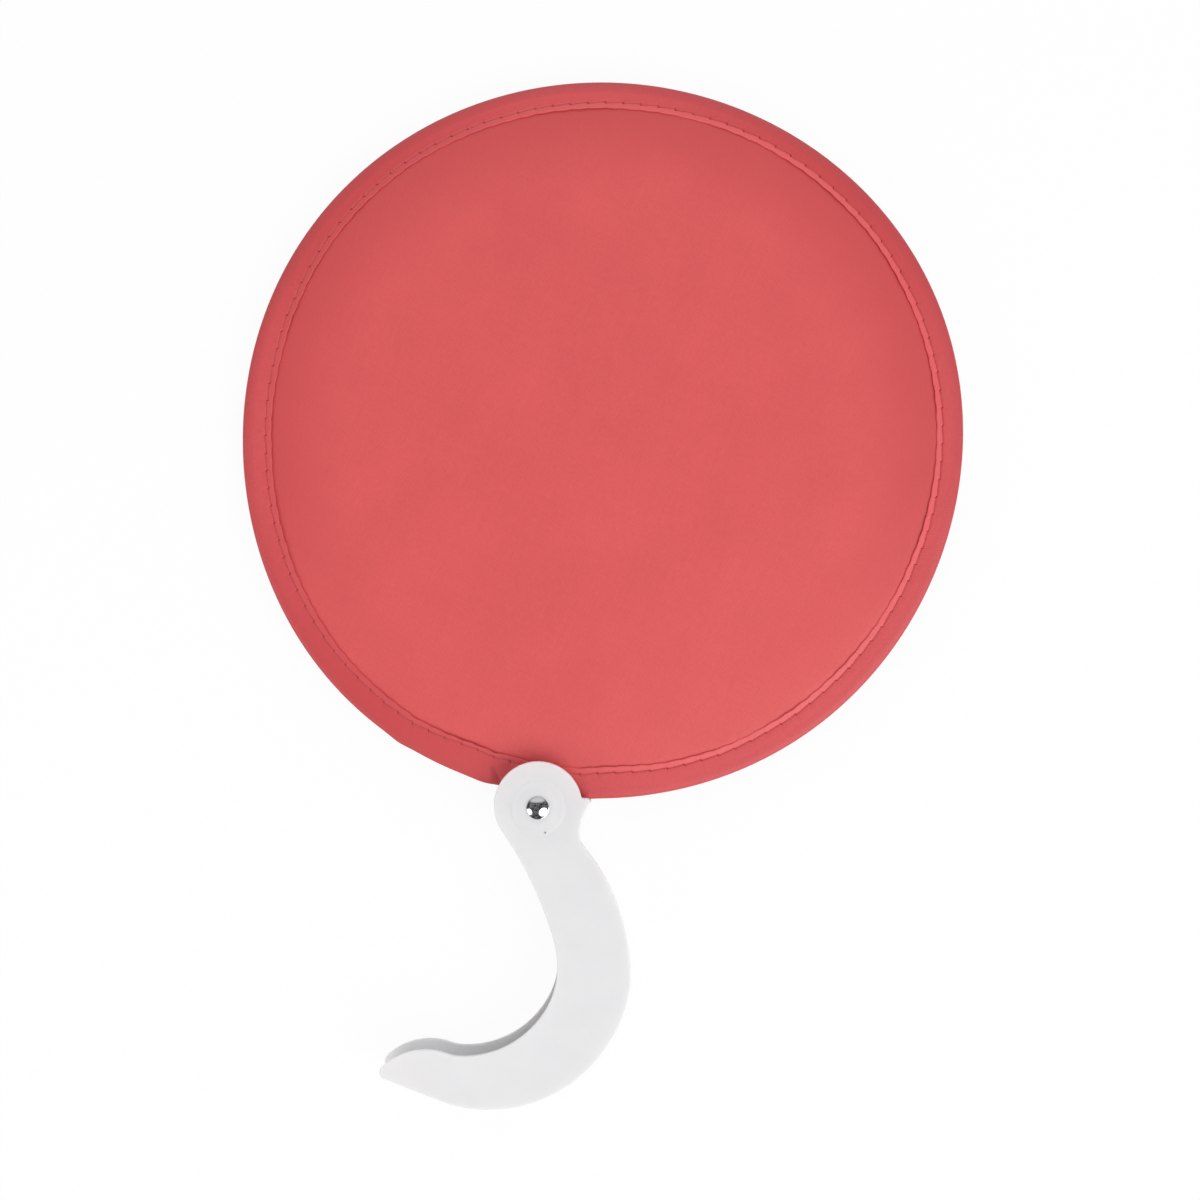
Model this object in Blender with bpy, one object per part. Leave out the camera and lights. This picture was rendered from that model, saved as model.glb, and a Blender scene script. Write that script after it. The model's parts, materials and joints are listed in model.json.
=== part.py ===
"""Twist-fold hand fan: a fabric disc on a spring-steel hoop, pivoted in a hook-shaped plastic grip.

The fan lies on its back, with +X to the right, +Y from the grip to the top of the disc and +Z up from
the face it lies on. The grip is an open channel of two moulded shells. The open disc swings in it about
a rivet, and the folded disc is kept in it. All lengths are in metres.
"""

import math

import bmesh
import bpy
from mathutils import Matrix, Vector

# Gap between two pieces that bear on each other
TOUCH = 0.0003

# Disc
DISC_RADIUS = 0.1225
PIVOT_OUTSET = 0.0035
DISC_TURN = math.radians(-9.7)
HEM_WIDTH = 0.0096
BINDING_THICKNESS = 0.00035
BEAD_SLOPE = 0.0018
RIM_CHAMFER = 0.0004
PANEL_THICKNESS = 0.0003
STRIP_HEIGHT = 0.0020
STRIP_THICKNESS = 0.0006
STRIP_END_GAP = 0.0010
FERRULE_LENGTH = 0.0140
FERRULE_WALL = 0.0003
FERRULE_SEAM = 0.0006
SWELL_TAPER = 0.0030
STITCH_INSET = 0.0080
STITCH_LENGTH = 0.0060
THREAD_DIAMETER = 0.0004
THREAD_LIFT = 0.0002

# Hub, clamped over the hem inside the grip's head
HUB_RADIUS = 0.0110
HUB_THICKNESS = 0.0088
HUB_EDGE = 0.0004
HUB_PEG_RADIUS = 0.0008
HUB_PEG_LENGTH = 0.0020
HUB_PEG_SPREAD = 0.0055
HUB_PEG_DROP = 0.0050

# Rivet
RIVET_HEAD_RADIUS = 0.00375
RIVET_DOME_HEIGHT = 0.0014
RIVET_BACK_HEIGHT = 0.0004
RIVET_BACK_SINK = 0.0001
RIVET_TUBE_RADIUS = 0.0016
RIVET_TUBE_WALL = 0.0004
RIVET_POST_LENGTH = 0.0090

# Grip
CHANNEL_WIDTH = 0.0128
PLATE_THICKNESS = 0.0016
WALL_THICKNESS = 0.0016
EDGE_ROUND = 0.0005
HEAD_RADIUS = 0.0146
HEAD_OFFSET = Vector((0.0001, 0.0005))
HEAD_FROM = math.radians(11)
HEAD_TO = math.radians(213)
PAD_RADIUS = 0.0091
PAD_HEIGHT = 0.0006
PAD_ROUND = 0.0004
DISH_CLEARANCE = 0.0008
RIVET_BOSS_RADIUS = 0.0050
SHELL_PEG_RADIUS = 0.0012
SHELL_PEG_LENGTH = 0.0030
SHELL_BOSS_WALL = 0.0011
SHELL_BOSS_DROP = 0.0002
SHELL_BOSS_BITE = 0.0008

# Corners of the grip, seen from the rivet's axis, in the order of a walk round it. The third number is how
# far the edge bows outward on its way to the next corner.
WALL_END = (-0.0410, -0.0953, 0.0001)
BELLY = (-0.0298, -0.0996, 0.0171)
BACK = (0.0313, -0.0588, 0.0046)
NOTCH = (0.0143, -0.0116, -0.0016)
TOOTH_POINT = (0.0181, 0.0018, 0.0)
TOOTH_TOP = (0.0170, 0.0031, 0.0)
TOOTH_ROOT = (0.0149, 0.0032, 0.0)
UP_THE_BACK = (WALL_END, BELLY, BACK, NOTCH, TOOTH_POINT, TOOTH_TOP, TOOTH_ROOT)
NECK = (-0.0074, -0.0152, -0.0007)
STEM_INSIDE = (0.0036, -0.0393, -0.0004)
BEND_INSIDE = (0.0064, -0.0510, -0.0021)
PALM = (0.0002, -0.0713, -0.0037)
DIP = (-0.0270, -0.0835, -0.0001)
BUMP = (-0.0303, -0.0828, 0.0033)
TIP_TOP = (-0.0527, -0.0874, 0.0009)
TIP_UNDER = (-0.0521, -0.0909, 0.0001)
DOWN_THE_HOLLOW = (NECK, STEM_INSIDE, BEND_INSIDE, PALM, DIP, BUMP, TIP_TOP, TIP_UNDER)
# How far the wall's rear edge is set in from its front edge at the notch. It fades to the back and the tooth.
WALL_LEAN = Vector((-0.0016, -0.0006))
# Pegs that join the shells: the corners each stands between, and how far along
PEG_PLACES = ((BELLY, BACK, 0.12), (BELLY, BACK, 0.80), (BACK, NOTCH, 0.82))

# Fineness of the faceted rounds
ARC_STEP = math.radians(6)
ARC_CHORD = 0.0008
RING_STEPS = 90
ROUND_SIDES = 32
SMALL_SIDES = 20
DOME_STEPS = 6
BEVEL_STEPS = 2
SHARP_ANGLE = math.radians(30)

# Points nearer than this are one point, and this many halvings find where a line crosses a circle
SAME_PLACE = 0.000003
HALVINGS = 30
# How far a sharp corner may run out when an outline is inset, as the least cosine
MITRE_LIMIT = 0.5

# What follows from the sizes
ARM = DISC_RADIUS + PIVOT_OUTSET
DISC_CENTRE = Vector((0.0, ARM))
STRIP_OUTER = DISC_RADIUS - BINDING_THICKNESS - TOUCH
STRIP_INNER = STRIP_OUTER - STRIP_THICKNESS
BEAD_INNER = STRIP_INNER - TOUCH - BINDING_THICKNESS
BEAD_HALF = STRIP_HEIGHT / 2 + TOUCH + BINDING_THICKNESS
SLOPE_FOOT = BEAD_INNER - BEAD_SLOPE
LEG_HALF = PANEL_THICKNESS / 2 + TOUCH + BINDING_THICKNESS
LIP_RADIUS = DISC_RADIUS - HEM_WIDTH
SWELL = TOUCH + FERRULE_WALL
SWELL_FLAT = FERRULE_LENGTH / 2 + TOUCH
GRIP_HALF = CHANNEL_WIDTH / 2 + PLATE_THICKNESS
HUB_FACE = HUB_THICKNESS / 2
RIVET_BORE = RIVET_TUBE_RADIUS + TOUCH
DISH_DEPTH = TOUCH + RIVET_BACK_HEIGHT + RIVET_BACK_SINK
SHELL_BOSS_RADIUS = SHELL_PEG_RADIUS + TOUCH + SHELL_BOSS_WALL
FRONT, REAR = 1, -1


def clear_scene():
    for old in list(bpy.data.objects):
        bpy.data.objects.remove(old, do_unlink=True)


def frame(name, location, turn):
    """An empty at the rivet's axis that carries one body's pieces."""
    empty = bpy.data.objects.new(name, None)
    empty.location = location
    empty.rotation_euler.z = turn
    bpy.context.collection.objects.link(empty)
    return empty


def finish(name, colour, roughness, metallic=0.0):
    material = bpy.data.materials.new(name)
    material.use_nodes = True
    shader = material.node_tree.nodes["Principled BSDF"]
    shader.inputs["Base Color"].default_value = (*colour, 1.0)
    shader.inputs["Roughness"].default_value = roughness
    shader.inputs["Metallic"].default_value = metallic
    return material


def add_object(name, bm, parent, material=None):
    """Ends a mesh as an object whose origin is on the rivet's axis. With no material it is a helper."""
    bmesh.ops.recalc_face_normals(bm, faces=bm.faces)
    mesh = bpy.data.meshes.new(name)
    bm.to_mesh(mesh)
    bm.free()
    made = bpy.data.objects.new(name, mesh)
    made.parent = parent
    bpy.context.collection.objects.link(made)
    if material:
        mesh.materials.append(material)
        mesh.shade_smooth()
        mesh.set_sharp_from_angle(angle=SHARP_ANGLE)
    else:
        made.hide_render = True
        made.display_type = "WIRE"
    return made


def combine(target, operation, helper):
    boolean = target.modifiers.new(helper.name, "BOOLEAN")
    boolean.operation = operation
    boolean.object = helper


def join(target, helper):
    combine(target, "UNION", helper)


def cut(target, helper):
    combine(target, "DIFFERENCE", helper)


def cylinder(radius, start, end, place=(0.0, 0.0), sides=ROUND_SIDES, edge=0.0):
    """A round post along Z from one height to the other, with its far edge rounded."""
    bm = bmesh.new()
    bmesh.ops.create_cone(
        bm,
        cap_ends=True,
        segments=sides,
        radius1=radius,
        radius2=radius,
        depth=abs(end - start),
        matrix=Matrix.Translation((*place, (start + end) / 2)),
    )
    if edge:
        rims = [e for e in bm.edges if all(abs(v.co.z - end) < SAME_PLACE for v in e.verts)]
        bmesh.ops.bevel(
            bm, geom=rims, offset=edge, segments=BEVEL_STEPS, profile=0.5, affect="EDGES", material=-1
        )
    return bm


def turned(profile, sides=ROUND_SIDES):
    """A body of revolution about Z. The profile is (radius, height) points that start and end on the axis."""
    bm = bmesh.new()
    points = [bm.verts.new((radius, 0.0, height)) for radius, height in profile]
    edges = [bm.edges.new(pair) for pair in zip(points, points[1:])]
    bmesh.ops.spin(
        bm,
        geom=points + edges,
        cent=(0.0, 0.0, 0.0),
        axis=(0.0, 0.0, 1.0),
        angle=math.tau,
        steps=sides,
        use_merge=True,
    )
    bmesh.ops.remove_doubles(bm, verts=bm.verts, dist=SAME_PLACE)
    return bm


def ring_stations():
    """Angles round the disc, from the hub, at which every ring has a section: close set over the swell."""
    flat = SWELL_FLAT / DISC_RADIUS
    taper = (SWELL_FLAT + SWELL_TAPER) / DISC_RADIUS
    over_swell = [0.0, flat / 2, flat, taper]
    plain = [taper + (math.tau - 2 * taper) * k / RING_STEPS for k in range(1, RING_STEPS)]
    once = over_swell + plain + [math.tau - angle for angle in reversed(over_swell[1:])]
    return [angle - math.tau for angle in once] + once


def ring(section, start=0.0, end=math.tau, stations=None):
    """Sweeps a closed (radius, height) section round the disc's centre between two angles from the hub."""
    stations = stations or ring_stations()
    angles = [start] + [a for a in stations if start < a < end] + [end]
    bm = bmesh.new()
    loop = [bm.verts.new((0.0, ARM - radius, height)) for radius, height in section]
    edges = [bm.edges.new(pair) for pair in zip(loop, loop[1:] + loop[:1])]
    centre = (*DISC_CENTRE, 0.0)
    bmesh.ops.rotate(bm, verts=loop, cent=centre, matrix=Matrix.Rotation(start, 3, "Z"))
    geom = loop + edges
    for here, there in zip(angles, angles[1:]):
        swept = bmesh.ops.spin(
            bm, geom=geom, cent=centre, axis=(0.0, 0.0, 1.0), angle=there - here, steps=1
        )
        geom = swept["geom_last"]
    bmesh.ops.remove_doubles(bm, verts=bm.verts, dist=SAME_PLACE)
    open_ends = [edge for edge in bm.edges if edge.is_boundary]
    if open_ends:
        bmesh.ops.holes_fill(bm, edges=open_ends)
    return bm


def swell_over_ferrule(bm):
    """Moves the hem's bead away from the strip, all round it, where the ferrule is inside it."""
    middle = (STRIP_OUTER + STRIP_INNER) / 2
    for vert in bm.verts:
        from_centre = vert.co.xy - DISC_CENTRE
        radius = from_centre.length
        if radius < (SLOPE_FOOT + BEAD_INNER) / 2:
            continue
        from_hub = abs(math.atan2(from_centre.x, -from_centre.y)) * DISC_RADIUS
        share = min(1.0, max(0.0, (SWELL_FLAT + SWELL_TAPER - from_hub) / SWELL_TAPER))
        outward = SWELL * share * (1 if radius > middle else -1)
        vert.co.xy = DISC_CENTRE + from_centre * (radius + outward) / radius
        vert.co.z += SWELL * share * math.copysign(1, vert.co.z)


def hem_line(offset):
    """Half of the hem's section, from the lip out to the rim, moved outward by an offset."""
    rim = DISC_RADIUS + offset
    chamfer = RIM_CHAMFER + (2 - math.sqrt(2)) * offset
    leg = LEG_HALF + offset
    bead = BEAD_HALF + offset
    return [
        (LIP_RADIUS, leg),
        (SLOPE_FOOT, leg),
        (BEAD_INNER - offset, bead),
        (rim - chamfer, bead),
        (rim, bead - chamfer),
    ]


def hem_section(offset):
    """The whole of that section, over the top and back underneath."""
    line = hem_line(offset)
    return line + [(radius, -height) for radius, height in reversed(line)]


def spring_hoop(parent):
    """A flat strip of spring steel, bent into a hoop whose ends meet inside the ferrule."""
    half = STRIP_HEIGHT / 2
    section = [(STRIP_INNER, -half), (STRIP_OUTER, -half), (STRIP_OUTER, half), (STRIP_INNER, half)]
    end = STRIP_END_GAP / 2 / DISC_RADIUS
    steel = finish("spring_steel", (0.42, 0.43, 0.45), 0.35, 1.0)
    return add_object("spring_hoop", ring(section, end, math.tau - end), parent, steel)


def hoop_ferrule(parent):
    """A sheet-metal sleeve crimped round both ends of the strip, with its seam on the inner side."""
    bore_in, bore_out, bore_half = STRIP_INNER - TOUCH, STRIP_OUTER + TOUCH, STRIP_HEIGHT / 2 + TOUCH
    inner, outer, half = bore_in - FERRULE_WALL, bore_out + FERRULE_WALL, bore_half + FERRULE_WALL
    seam = FERRULE_SEAM / 2
    section = [(inner, seam), (inner, half), (outer, half), (outer, -half), (inner, -half), (inner, -seam)]
    section += [(bore_in, -seam), (bore_in, -bore_half), (bore_out, -bore_half)]
    section += [(bore_out, bore_half), (bore_in, bore_half), (bore_in, seam)]
    end = FERRULE_LENGTH / 2 / DISC_RADIUS
    tin = finish("tinned_steel", (0.62, 0.62, 0.60), 0.40, 1.0)
    return add_object("hoop_ferrule", ring(section, -end, end), parent, tin)


def rim_binding(parent):
    """Bias tape folded over the hoop and the panel's edge, so it is U-shaped in section and open inward."""
    outside = hem_section(0.0)
    inside = hem_section(-BINDING_THICKNESS)
    bm = ring(outside + list(reversed(inside)))
    swell_over_ferrule(bm)
    tape = finish("red_bias_tape", (0.66, 0.10, 0.11), 0.72)
    return add_object("rim_binding", bm, parent, tape)


def disc_panel(parent):
    """One flat round of thin woven cloth, held taut with its edge inside the binding."""
    half = PANEL_THICKNESS / 2
    cloth = finish("red_cloth", (0.72, 0.12, 0.12), 0.68)
    radius = SLOPE_FOOT - TOUCH
    bm = cylinder(radius, -half, half, place=DISC_CENTRE, sides=RING_STEPS)
    return add_object("disc_panel", bm, parent, cloth)


def seam_thread(name, parent, side):
    """One thread of the seam along the binding's lip: it arches over each stitch and dips between them."""
    radius = DISC_RADIUS - STITCH_INSET
    stitches = round(math.tau * radius / STITCH_LENGTH)
    half = THREAD_DIAMETER / 2
    low = side * (LEG_HALF + TOUCH + half)
    section = [(radius - half, low), (radius, low - half), (radius + half, low), (radius, low + half)]
    step = math.tau / (2 * stitches)
    bm = ring(section, stations=[step * k for k in range(2 * stitches + 1)])
    for vert in bm.verts:
        from_centre = vert.co.xy - DISC_CENTRE
        if round(math.atan2(from_centre.x, -from_centre.y) / step) % 2:
            vert.co.z += side * THREAD_LIFT
    thread = finish(name + "_yarn", (0.50, 0.06, 0.07), 0.60)
    return add_object(name, bm, parent, thread)


def hub_half(name, parent, side):
    """Half of the round hub, grooved to hold the hem's bead as a track holds a bolt rope."""
    split = side * TOUCH / 2
    face = side * HUB_FACE
    nylon = finish(name + "_nylon", (0.80, 0.79, 0.78), 0.45)
    half = add_object(name, cylinder(HUB_RADIUS, split, face, edge=HUB_EDGE), parent, nylon)
    reach = math.asin(min(1.0, 2 * HUB_RADIUS / DISC_RADIUS))
    groove = ring(hem_section(TOUCH), -reach, reach)
    swell_over_ferrule(groove)
    cut(half, add_object(name + "_groove", groove, parent))
    bore = cylinder(RIVET_BORE, -HUB_THICKNESS, HUB_THICKNESS)
    cut(half, add_object(name + "_bore", bore, parent))
    for number, across in enumerate((-HUB_PEG_SPREAD, HUB_PEG_SPREAD), 1):
        place = (across, -HUB_PEG_DROP)
        peg_name = f"{name}_peg_{number}"
        if side == FRONT:
            peg = cylinder(HUB_PEG_RADIUS, face / 2, -HUB_PEG_LENGTH, place, SMALL_SIDES)
            join(half, add_object(peg_name, peg, parent))
        else:
            depth = HUB_PEG_LENGTH + TOUCH
            socket = cylinder(HUB_PEG_RADIUS + TOUCH, TOUCH, -depth, place, SMALL_SIDES)
            cut(half, add_object(peg_name, socket, parent))
    return half


def arc_place(start, end, rise, share):
    """A point part of the way along an arc between two points, and its normal to the right of the way."""
    chord = end - start
    along = chord.normalized()
    right = Vector((along.y, -along.x))
    if rise == 0:
        return start + chord * share, right
    radius = (chord.length_squared / 4 + rise * rise) / (2 * abs(rise))
    half_angle = 2 * math.atan(2 * abs(rise) / chord.length)
    side = math.copysign(1, rise)
    centre = (start + end) / 2 - right * side * (radius - abs(rise))
    angle = half_angle * (2 * share - 1)
    spoke = along * math.sin(angle) + right * side * math.cos(angle)
    return centre + spoke * radius, spoke * side


def arc_points(start, end, rise):
    """Points along that arc, from its start and leaving out its end."""
    if rise == 0:
        return [start]
    chord = (end - start).length
    angle = 4 * math.atan(2 * abs(rise) / chord)
    steps = max(1, min(math.ceil(angle / ARC_STEP), math.ceil(chord / ARC_CHORD)))
    return [arc_place(start, end, rise, k / steps)[0] for k in range(steps)]


def head_points():
    """The round head, from the tooth over the top to the neck."""
    steps = math.ceil((HEAD_TO - HEAD_FROM) / ARC_STEP)
    angles = [HEAD_FROM + (HEAD_TO - HEAD_FROM) * k / steps for k in range(steps + 1)]
    return [HEAD_OFFSET + HEAD_RADIUS * Vector((math.cos(a), math.sin(a))) for a in angles]


def way_along(corners, end):
    """Points from corner to corner, up to an end that is left out."""
    places = [Vector(corner[:2]) for corner in corners] + [end]
    points = []
    for start, after, corner in zip(places, places[1:], corners):
        points += arc_points(start, after, corner[2])
    return points


def grip_outline():
    """The closed outline, from where the wall starts at the hook's tip, up the back and over the head."""
    head = head_points()
    return way_along(UP_THE_BACK, head[0]) + head + way_along(DOWN_THE_HOLLOW, Vector(WALL_END[:2]))


def inset_line(points, distance):
    """Each point moved to the left of the way along a closed line, so that the edges move by a distance."""
    moved = []
    for before, here, after in zip(points[-1:] + points[:-1], points, points[1:] + points[:1]):
        one = (here - before).normalized()
        two = (after - here).normalized()
        left = (Vector((-one.y, one.x)) + Vector((-two.y, two.x))).normalized()
        moved.append(here + left * distance / max(MITRE_LIMIT, left.dot(Vector((-one.y, one.x)))))
    return moved


def up_to_rim(line):
    """The start of a line, up to where it comes within a clearance of the disc's rim at rest."""
    centre = Matrix.Rotation(DISC_TURN, 2) @ DISC_CENTRE
    clear = DISC_RADIUS + TOUCH
    kept = [line[0]]
    for point in line[1:]:
        if (point - centre).length < clear:
            inside, outside = point, kept[-1]
            for _ in range(HALVINGS):
                middle = (inside + outside) / 2
                if (middle - centre).length < clear:
                    inside = middle
                else:
                    outside = middle
            return kept + [outside]
        kept.append(point)
    return kept


def lean_share(place, outline):
    """Share of the wall's full lean beside a place: 1 at the notch, 0 past the back or the tooth's point."""
    back, notch, tooth = (
        min(range(len(outline)), key=lambda k: (outline[k] - Vector(corner[:2])).length)
        for corner in (BACK, NOTCH, TOOTH_POINT)
    )
    nearest, share = math.inf, 0.0
    for k, (here, there) in enumerate(zip(outline, outline[1:] + outline[:1])):
        edge = there - here
        part = min(1.0, max(0.0, (place - here).dot(edge) / edge.length_squared))
        distance = (here + edge * part - place).length
        if distance < nearest:
            nearest = distance
            share = max(0.0, min((k + part - back) / (notch - back), (tooth - k - part) / (tooth - notch)))
    return share


def lean_wall(bm, outline):
    """Sets the wall and both plates' edges in toward the rear, by their share of the lean."""
    for vert in bm.verts:
        depth = (GRIP_HALF - vert.co.z) / (2 * GRIP_HALF)
        vert.co.xy += WALL_LEAN * (lean_share(vert.co.xy, outline) * depth)


def extrude(bm, faces, height):
    """Pulls faces up to a height, on new sides, and gives the pulled faces."""
    grown = bmesh.ops.extrude_face_region(bm, geom=faces)["geom"]
    for vert in (item for item in grown if isinstance(item, bmesh.types.BMVert)):
        vert.co.z = height
    return [item for item in grown if isinstance(item, bmesh.types.BMFace)]


def corner_near(face, place):
    return min(face.verts, key=lambda vert: (vert.co.xy - place).length)


def channel_half(side):
    """A flat plate of the grip's outline, with half of the wall standing on it along the outer edge."""
    outline = grip_outline()
    outer = up_to_rim(outline)
    inner = up_to_rim(inset_line(outline, WALL_THICKNESS))
    outer_face, inner_face, split = side * GRIP_HALF, side * CHANNEL_WIDTH / 2, side * TOUCH / 2
    bm = bmesh.new()
    outside = bm.faces.new([bm.verts.new((*point, outer_face)) for point in outline])
    plate = extrude(bm, [outside], inner_face)[0]
    start, last, beyond = (corner_near(plate, outline[k]) for k in (0, len(outer) - 2, len(outer) - 1))
    crossed = next(edge for edge in last.link_edges if edge.other_vert(last) == beyond)
    end = bmesh.utils.edge_split(crossed, last, 0.5)[1]
    end.co.xy = outer[-1]
    other = bmesh.utils.face_split(plate, start, end, coords=[(*point, inner_face) for point in inner])[0]
    wall_foot = min((plate, other), key=lambda face: face.calc_area())
    extrude(bm, [wall_foot], split)
    bmesh.ops.delete(bm, geom=[wall_foot], context="FACES_ONLY")
    lean_wall(bm, outline)
    bmesh.ops.recalc_face_normals(bm, faces=bm.faces)
    rim = list(outside.edges)
    bmesh.ops.bevel(
        bm, geom=rim, offset=EDGE_ROUND, segments=BEVEL_STEPS, profile=0.5, affect="EDGES", material=-1
    )
    return bm


def peg_place(corner, after, share):
    """Where a peg's axis stands, inside the wall between two corners of the grip."""
    point, outward = arc_place(Vector(corner[:2]), Vector(after[:2]), corner[2], share)
    at_middle = point + WALL_LEAN * (lean_share(point, grip_outline()) / 2)
    return at_middle - outward * (WALL_THICKNESS + SHELL_BOSS_RADIUS - SHELL_BOSS_BITE)


def shell(name, parent, side):
    """One moulded half of the grip, with its rivet boss and its pegs or sockets for the other half."""
    plastic = finish(name + "_plastic", (0.80, 0.79, 0.80), 0.38)
    half = add_object(name, channel_half(side), parent, plastic)
    in_plate = side * (CHANNEL_WIDTH + PLATE_THICKNESS) / 2
    boss = cylinder(RIVET_BOSS_RADIUS, in_plate, side * (HUB_FACE + TOUCH))
    join(half, add_object(name + "_rivet_boss", boss, parent))
    if side == FRONT:
        pad = cylinder(PAD_RADIUS, in_plate, GRIP_HALF + PAD_HEIGHT, sides=2 * ROUND_SIDES, edge=PAD_ROUND)
        join(half, add_object(name + "_pad", pad, parent))
    else:
        floor = DISH_DEPTH - GRIP_HALF
        dish = cylinder(RIVET_HEAD_RADIUS + DISH_CLEARANCE, floor, -2 * GRIP_HALF)
        cut(half, add_object(name + "_dish", dish, parent))
    for number, (corner, after, share) in enumerate(PEG_PLACES, 1):
        place = peg_place(corner, after, share)
        top = side * (TOUCH / 2 + SHELL_BOSS_DROP)
        stud = cylinder(SHELL_BOSS_RADIUS, in_plate, top, place, SMALL_SIDES)
        join(half, add_object(f"{name}_stud_{number}", stud, parent))
        if side == FRONT:
            peg = cylinder(SHELL_PEG_RADIUS, in_plate, -SHELL_PEG_LENGTH, place, SMALL_SIDES)
            join(half, add_object(f"{name}_peg_{number}", peg, parent))
        else:
            depth = SHELL_PEG_LENGTH + TOUCH
            socket = cylinder(SHELL_PEG_RADIUS + TOUCH, TOUCH, -depth, place, SMALL_SIDES)
            cut(half, add_object(f"{name}_socket_{number}", socket, parent))
    bore = cylinder(RIVET_BORE, 2 * GRIP_HALF, -2 * GRIP_HALF)
    cut(half, add_object(name + "_bore", bore, parent))
    return half


def rivet_front_cap(parent):
    """A polished domed cap on a post, pressed through the grip's head from the front."""
    base = GRIP_HALF + PAD_HEIGHT + TOUCH
    post = RIVET_TUBE_RADIUS - RIVET_TUBE_WALL - TOUCH
    ball = (RIVET_HEAD_RADIUS**2 + RIVET_DOME_HEIGHT**2) / (2 * RIVET_DOME_HEIGHT)
    spread = math.asin(min(1.0, RIVET_HEAD_RADIUS / ball))
    drop = ball - RIVET_DOME_HEIGHT
    angles = [spread * k / DOME_STEPS for k in range(DOME_STEPS + 1)]
    dome = [(ball * math.sin(angle), base - drop + ball * math.cos(angle)) for angle in angles]
    end = base - RIVET_POST_LENGTH
    chrome = finish("chrome", (0.75, 0.76, 0.78), 0.06, 1.0)
    bm = turned(dome + [(post, base), (post, end), (0.0, end)])
    return add_object("rivet_front_cap", bm, parent, chrome)


def rivet_rear_cap(parent):
    """A flat-headed tube that takes the post from behind. Its head lies just below the rear face."""
    face = -GRIP_HALF + RIVET_BACK_SINK
    seat = face + RIVET_BACK_HEIGHT
    bore = RIVET_TUBE_RADIUS - RIVET_TUBE_WALL
    end = GRIP_HALF + PAD_HEIGHT
    profile = [(0.0, face), (RIVET_HEAD_RADIUS, face), (RIVET_HEAD_RADIUS, seat)]
    profile += [(RIVET_TUBE_RADIUS, seat), (RIVET_TUBE_RADIUS, end), (bore, end), (bore, seat), (0.0, seat)]
    nickel = finish("nickel", (0.66, 0.65, 0.62), 0.22, 1.0)
    return add_object("rivet_rear_cap", turned(profile), parent, nickel)


def rivet_place():
    """The rivet's axis at mid-height, such that the fan's box is centred on the origin and lies on z = 0."""
    centre = Matrix.Rotation(DISC_TURN, 2) @ DISC_CENTRE
    reach = Vector((DISC_RADIUS, DISC_RADIUS))
    points = grip_outline() + [centre - reach, centre + reach]
    across = [point.x for point in points]
    along = [point.y for point in points]
    return (-(min(across) + max(across)) / 2, -(min(along) + max(along)) / 2, GRIP_HALF)


def build():
    clear_scene()
    place = rivet_place()
    grip = frame("grip_frame", place, 0.0)
    disc = frame("disc_frame", place, DISC_TURN)
    shell("handle_front_shell", grip, FRONT)
    shell("handle_rear_shell", grip, REAR)
    rivet_front_cap(grip)
    rivet_rear_cap(grip)
    hub_half("pivot_hub_front_half", disc, FRONT)
    hub_half("pivot_hub_rear_half", disc, REAR)
    spring_hoop(disc)
    hoop_ferrule(disc)
    rim_binding(disc)
    disc_panel(disc)
    seam_thread("needle_thread", disc, FRONT)
    seam_thread("bobbin_thread", disc, REAR)


build()
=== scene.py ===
"""Looks of a twist-fold hand fan: a red cloth disc on a spring hoop, riveted in a white hook-shaped grip."""

import json
import math

import bmesh
import bpy
from mathutils import Matrix, Vector, noise


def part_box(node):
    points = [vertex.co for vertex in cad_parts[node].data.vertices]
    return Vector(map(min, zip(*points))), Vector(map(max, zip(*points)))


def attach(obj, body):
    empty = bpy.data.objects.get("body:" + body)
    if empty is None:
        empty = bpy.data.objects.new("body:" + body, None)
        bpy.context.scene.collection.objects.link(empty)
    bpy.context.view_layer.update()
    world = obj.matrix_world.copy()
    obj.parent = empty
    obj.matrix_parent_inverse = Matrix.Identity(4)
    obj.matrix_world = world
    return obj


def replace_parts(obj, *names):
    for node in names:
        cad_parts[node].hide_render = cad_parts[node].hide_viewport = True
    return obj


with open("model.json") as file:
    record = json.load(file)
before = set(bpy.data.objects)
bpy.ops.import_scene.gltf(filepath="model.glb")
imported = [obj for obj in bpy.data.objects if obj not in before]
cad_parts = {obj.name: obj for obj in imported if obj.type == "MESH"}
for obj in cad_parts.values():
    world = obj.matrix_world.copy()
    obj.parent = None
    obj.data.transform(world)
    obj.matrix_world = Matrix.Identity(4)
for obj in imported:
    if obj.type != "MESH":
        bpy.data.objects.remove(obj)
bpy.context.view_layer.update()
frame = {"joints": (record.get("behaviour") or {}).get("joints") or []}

# Camera
# The fan lies on its back and is looked at from straight above, as near as a lens of about 48 mm needs.
CAMERA_PLACE = Vector((-0.0004, -0.0029, 0.550))
MIDDLE_HEIGHT = 0.008
FIELD_WIDTH = 0.4085
SENSOR_WIDTH = 36.0

scene = bpy.context.scene
scene.view_settings.view_transform = "Standard"
camera = bpy.data.objects.new("camera", bpy.data.cameras.new("camera"))
camera.location = CAMERA_PLACE
camera.data.sensor_width = SENSOR_WIDTH
camera.data.lens = SENSOR_WIDTH * (CAMERA_PLACE.z - MIDDLE_HEIGHT) / FIELD_WIDTH
camera.data.clip_start = 0.05
camera.data.clip_end = 10.0
scene.collection.objects.link(camera)
scene.camera = camera


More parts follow.
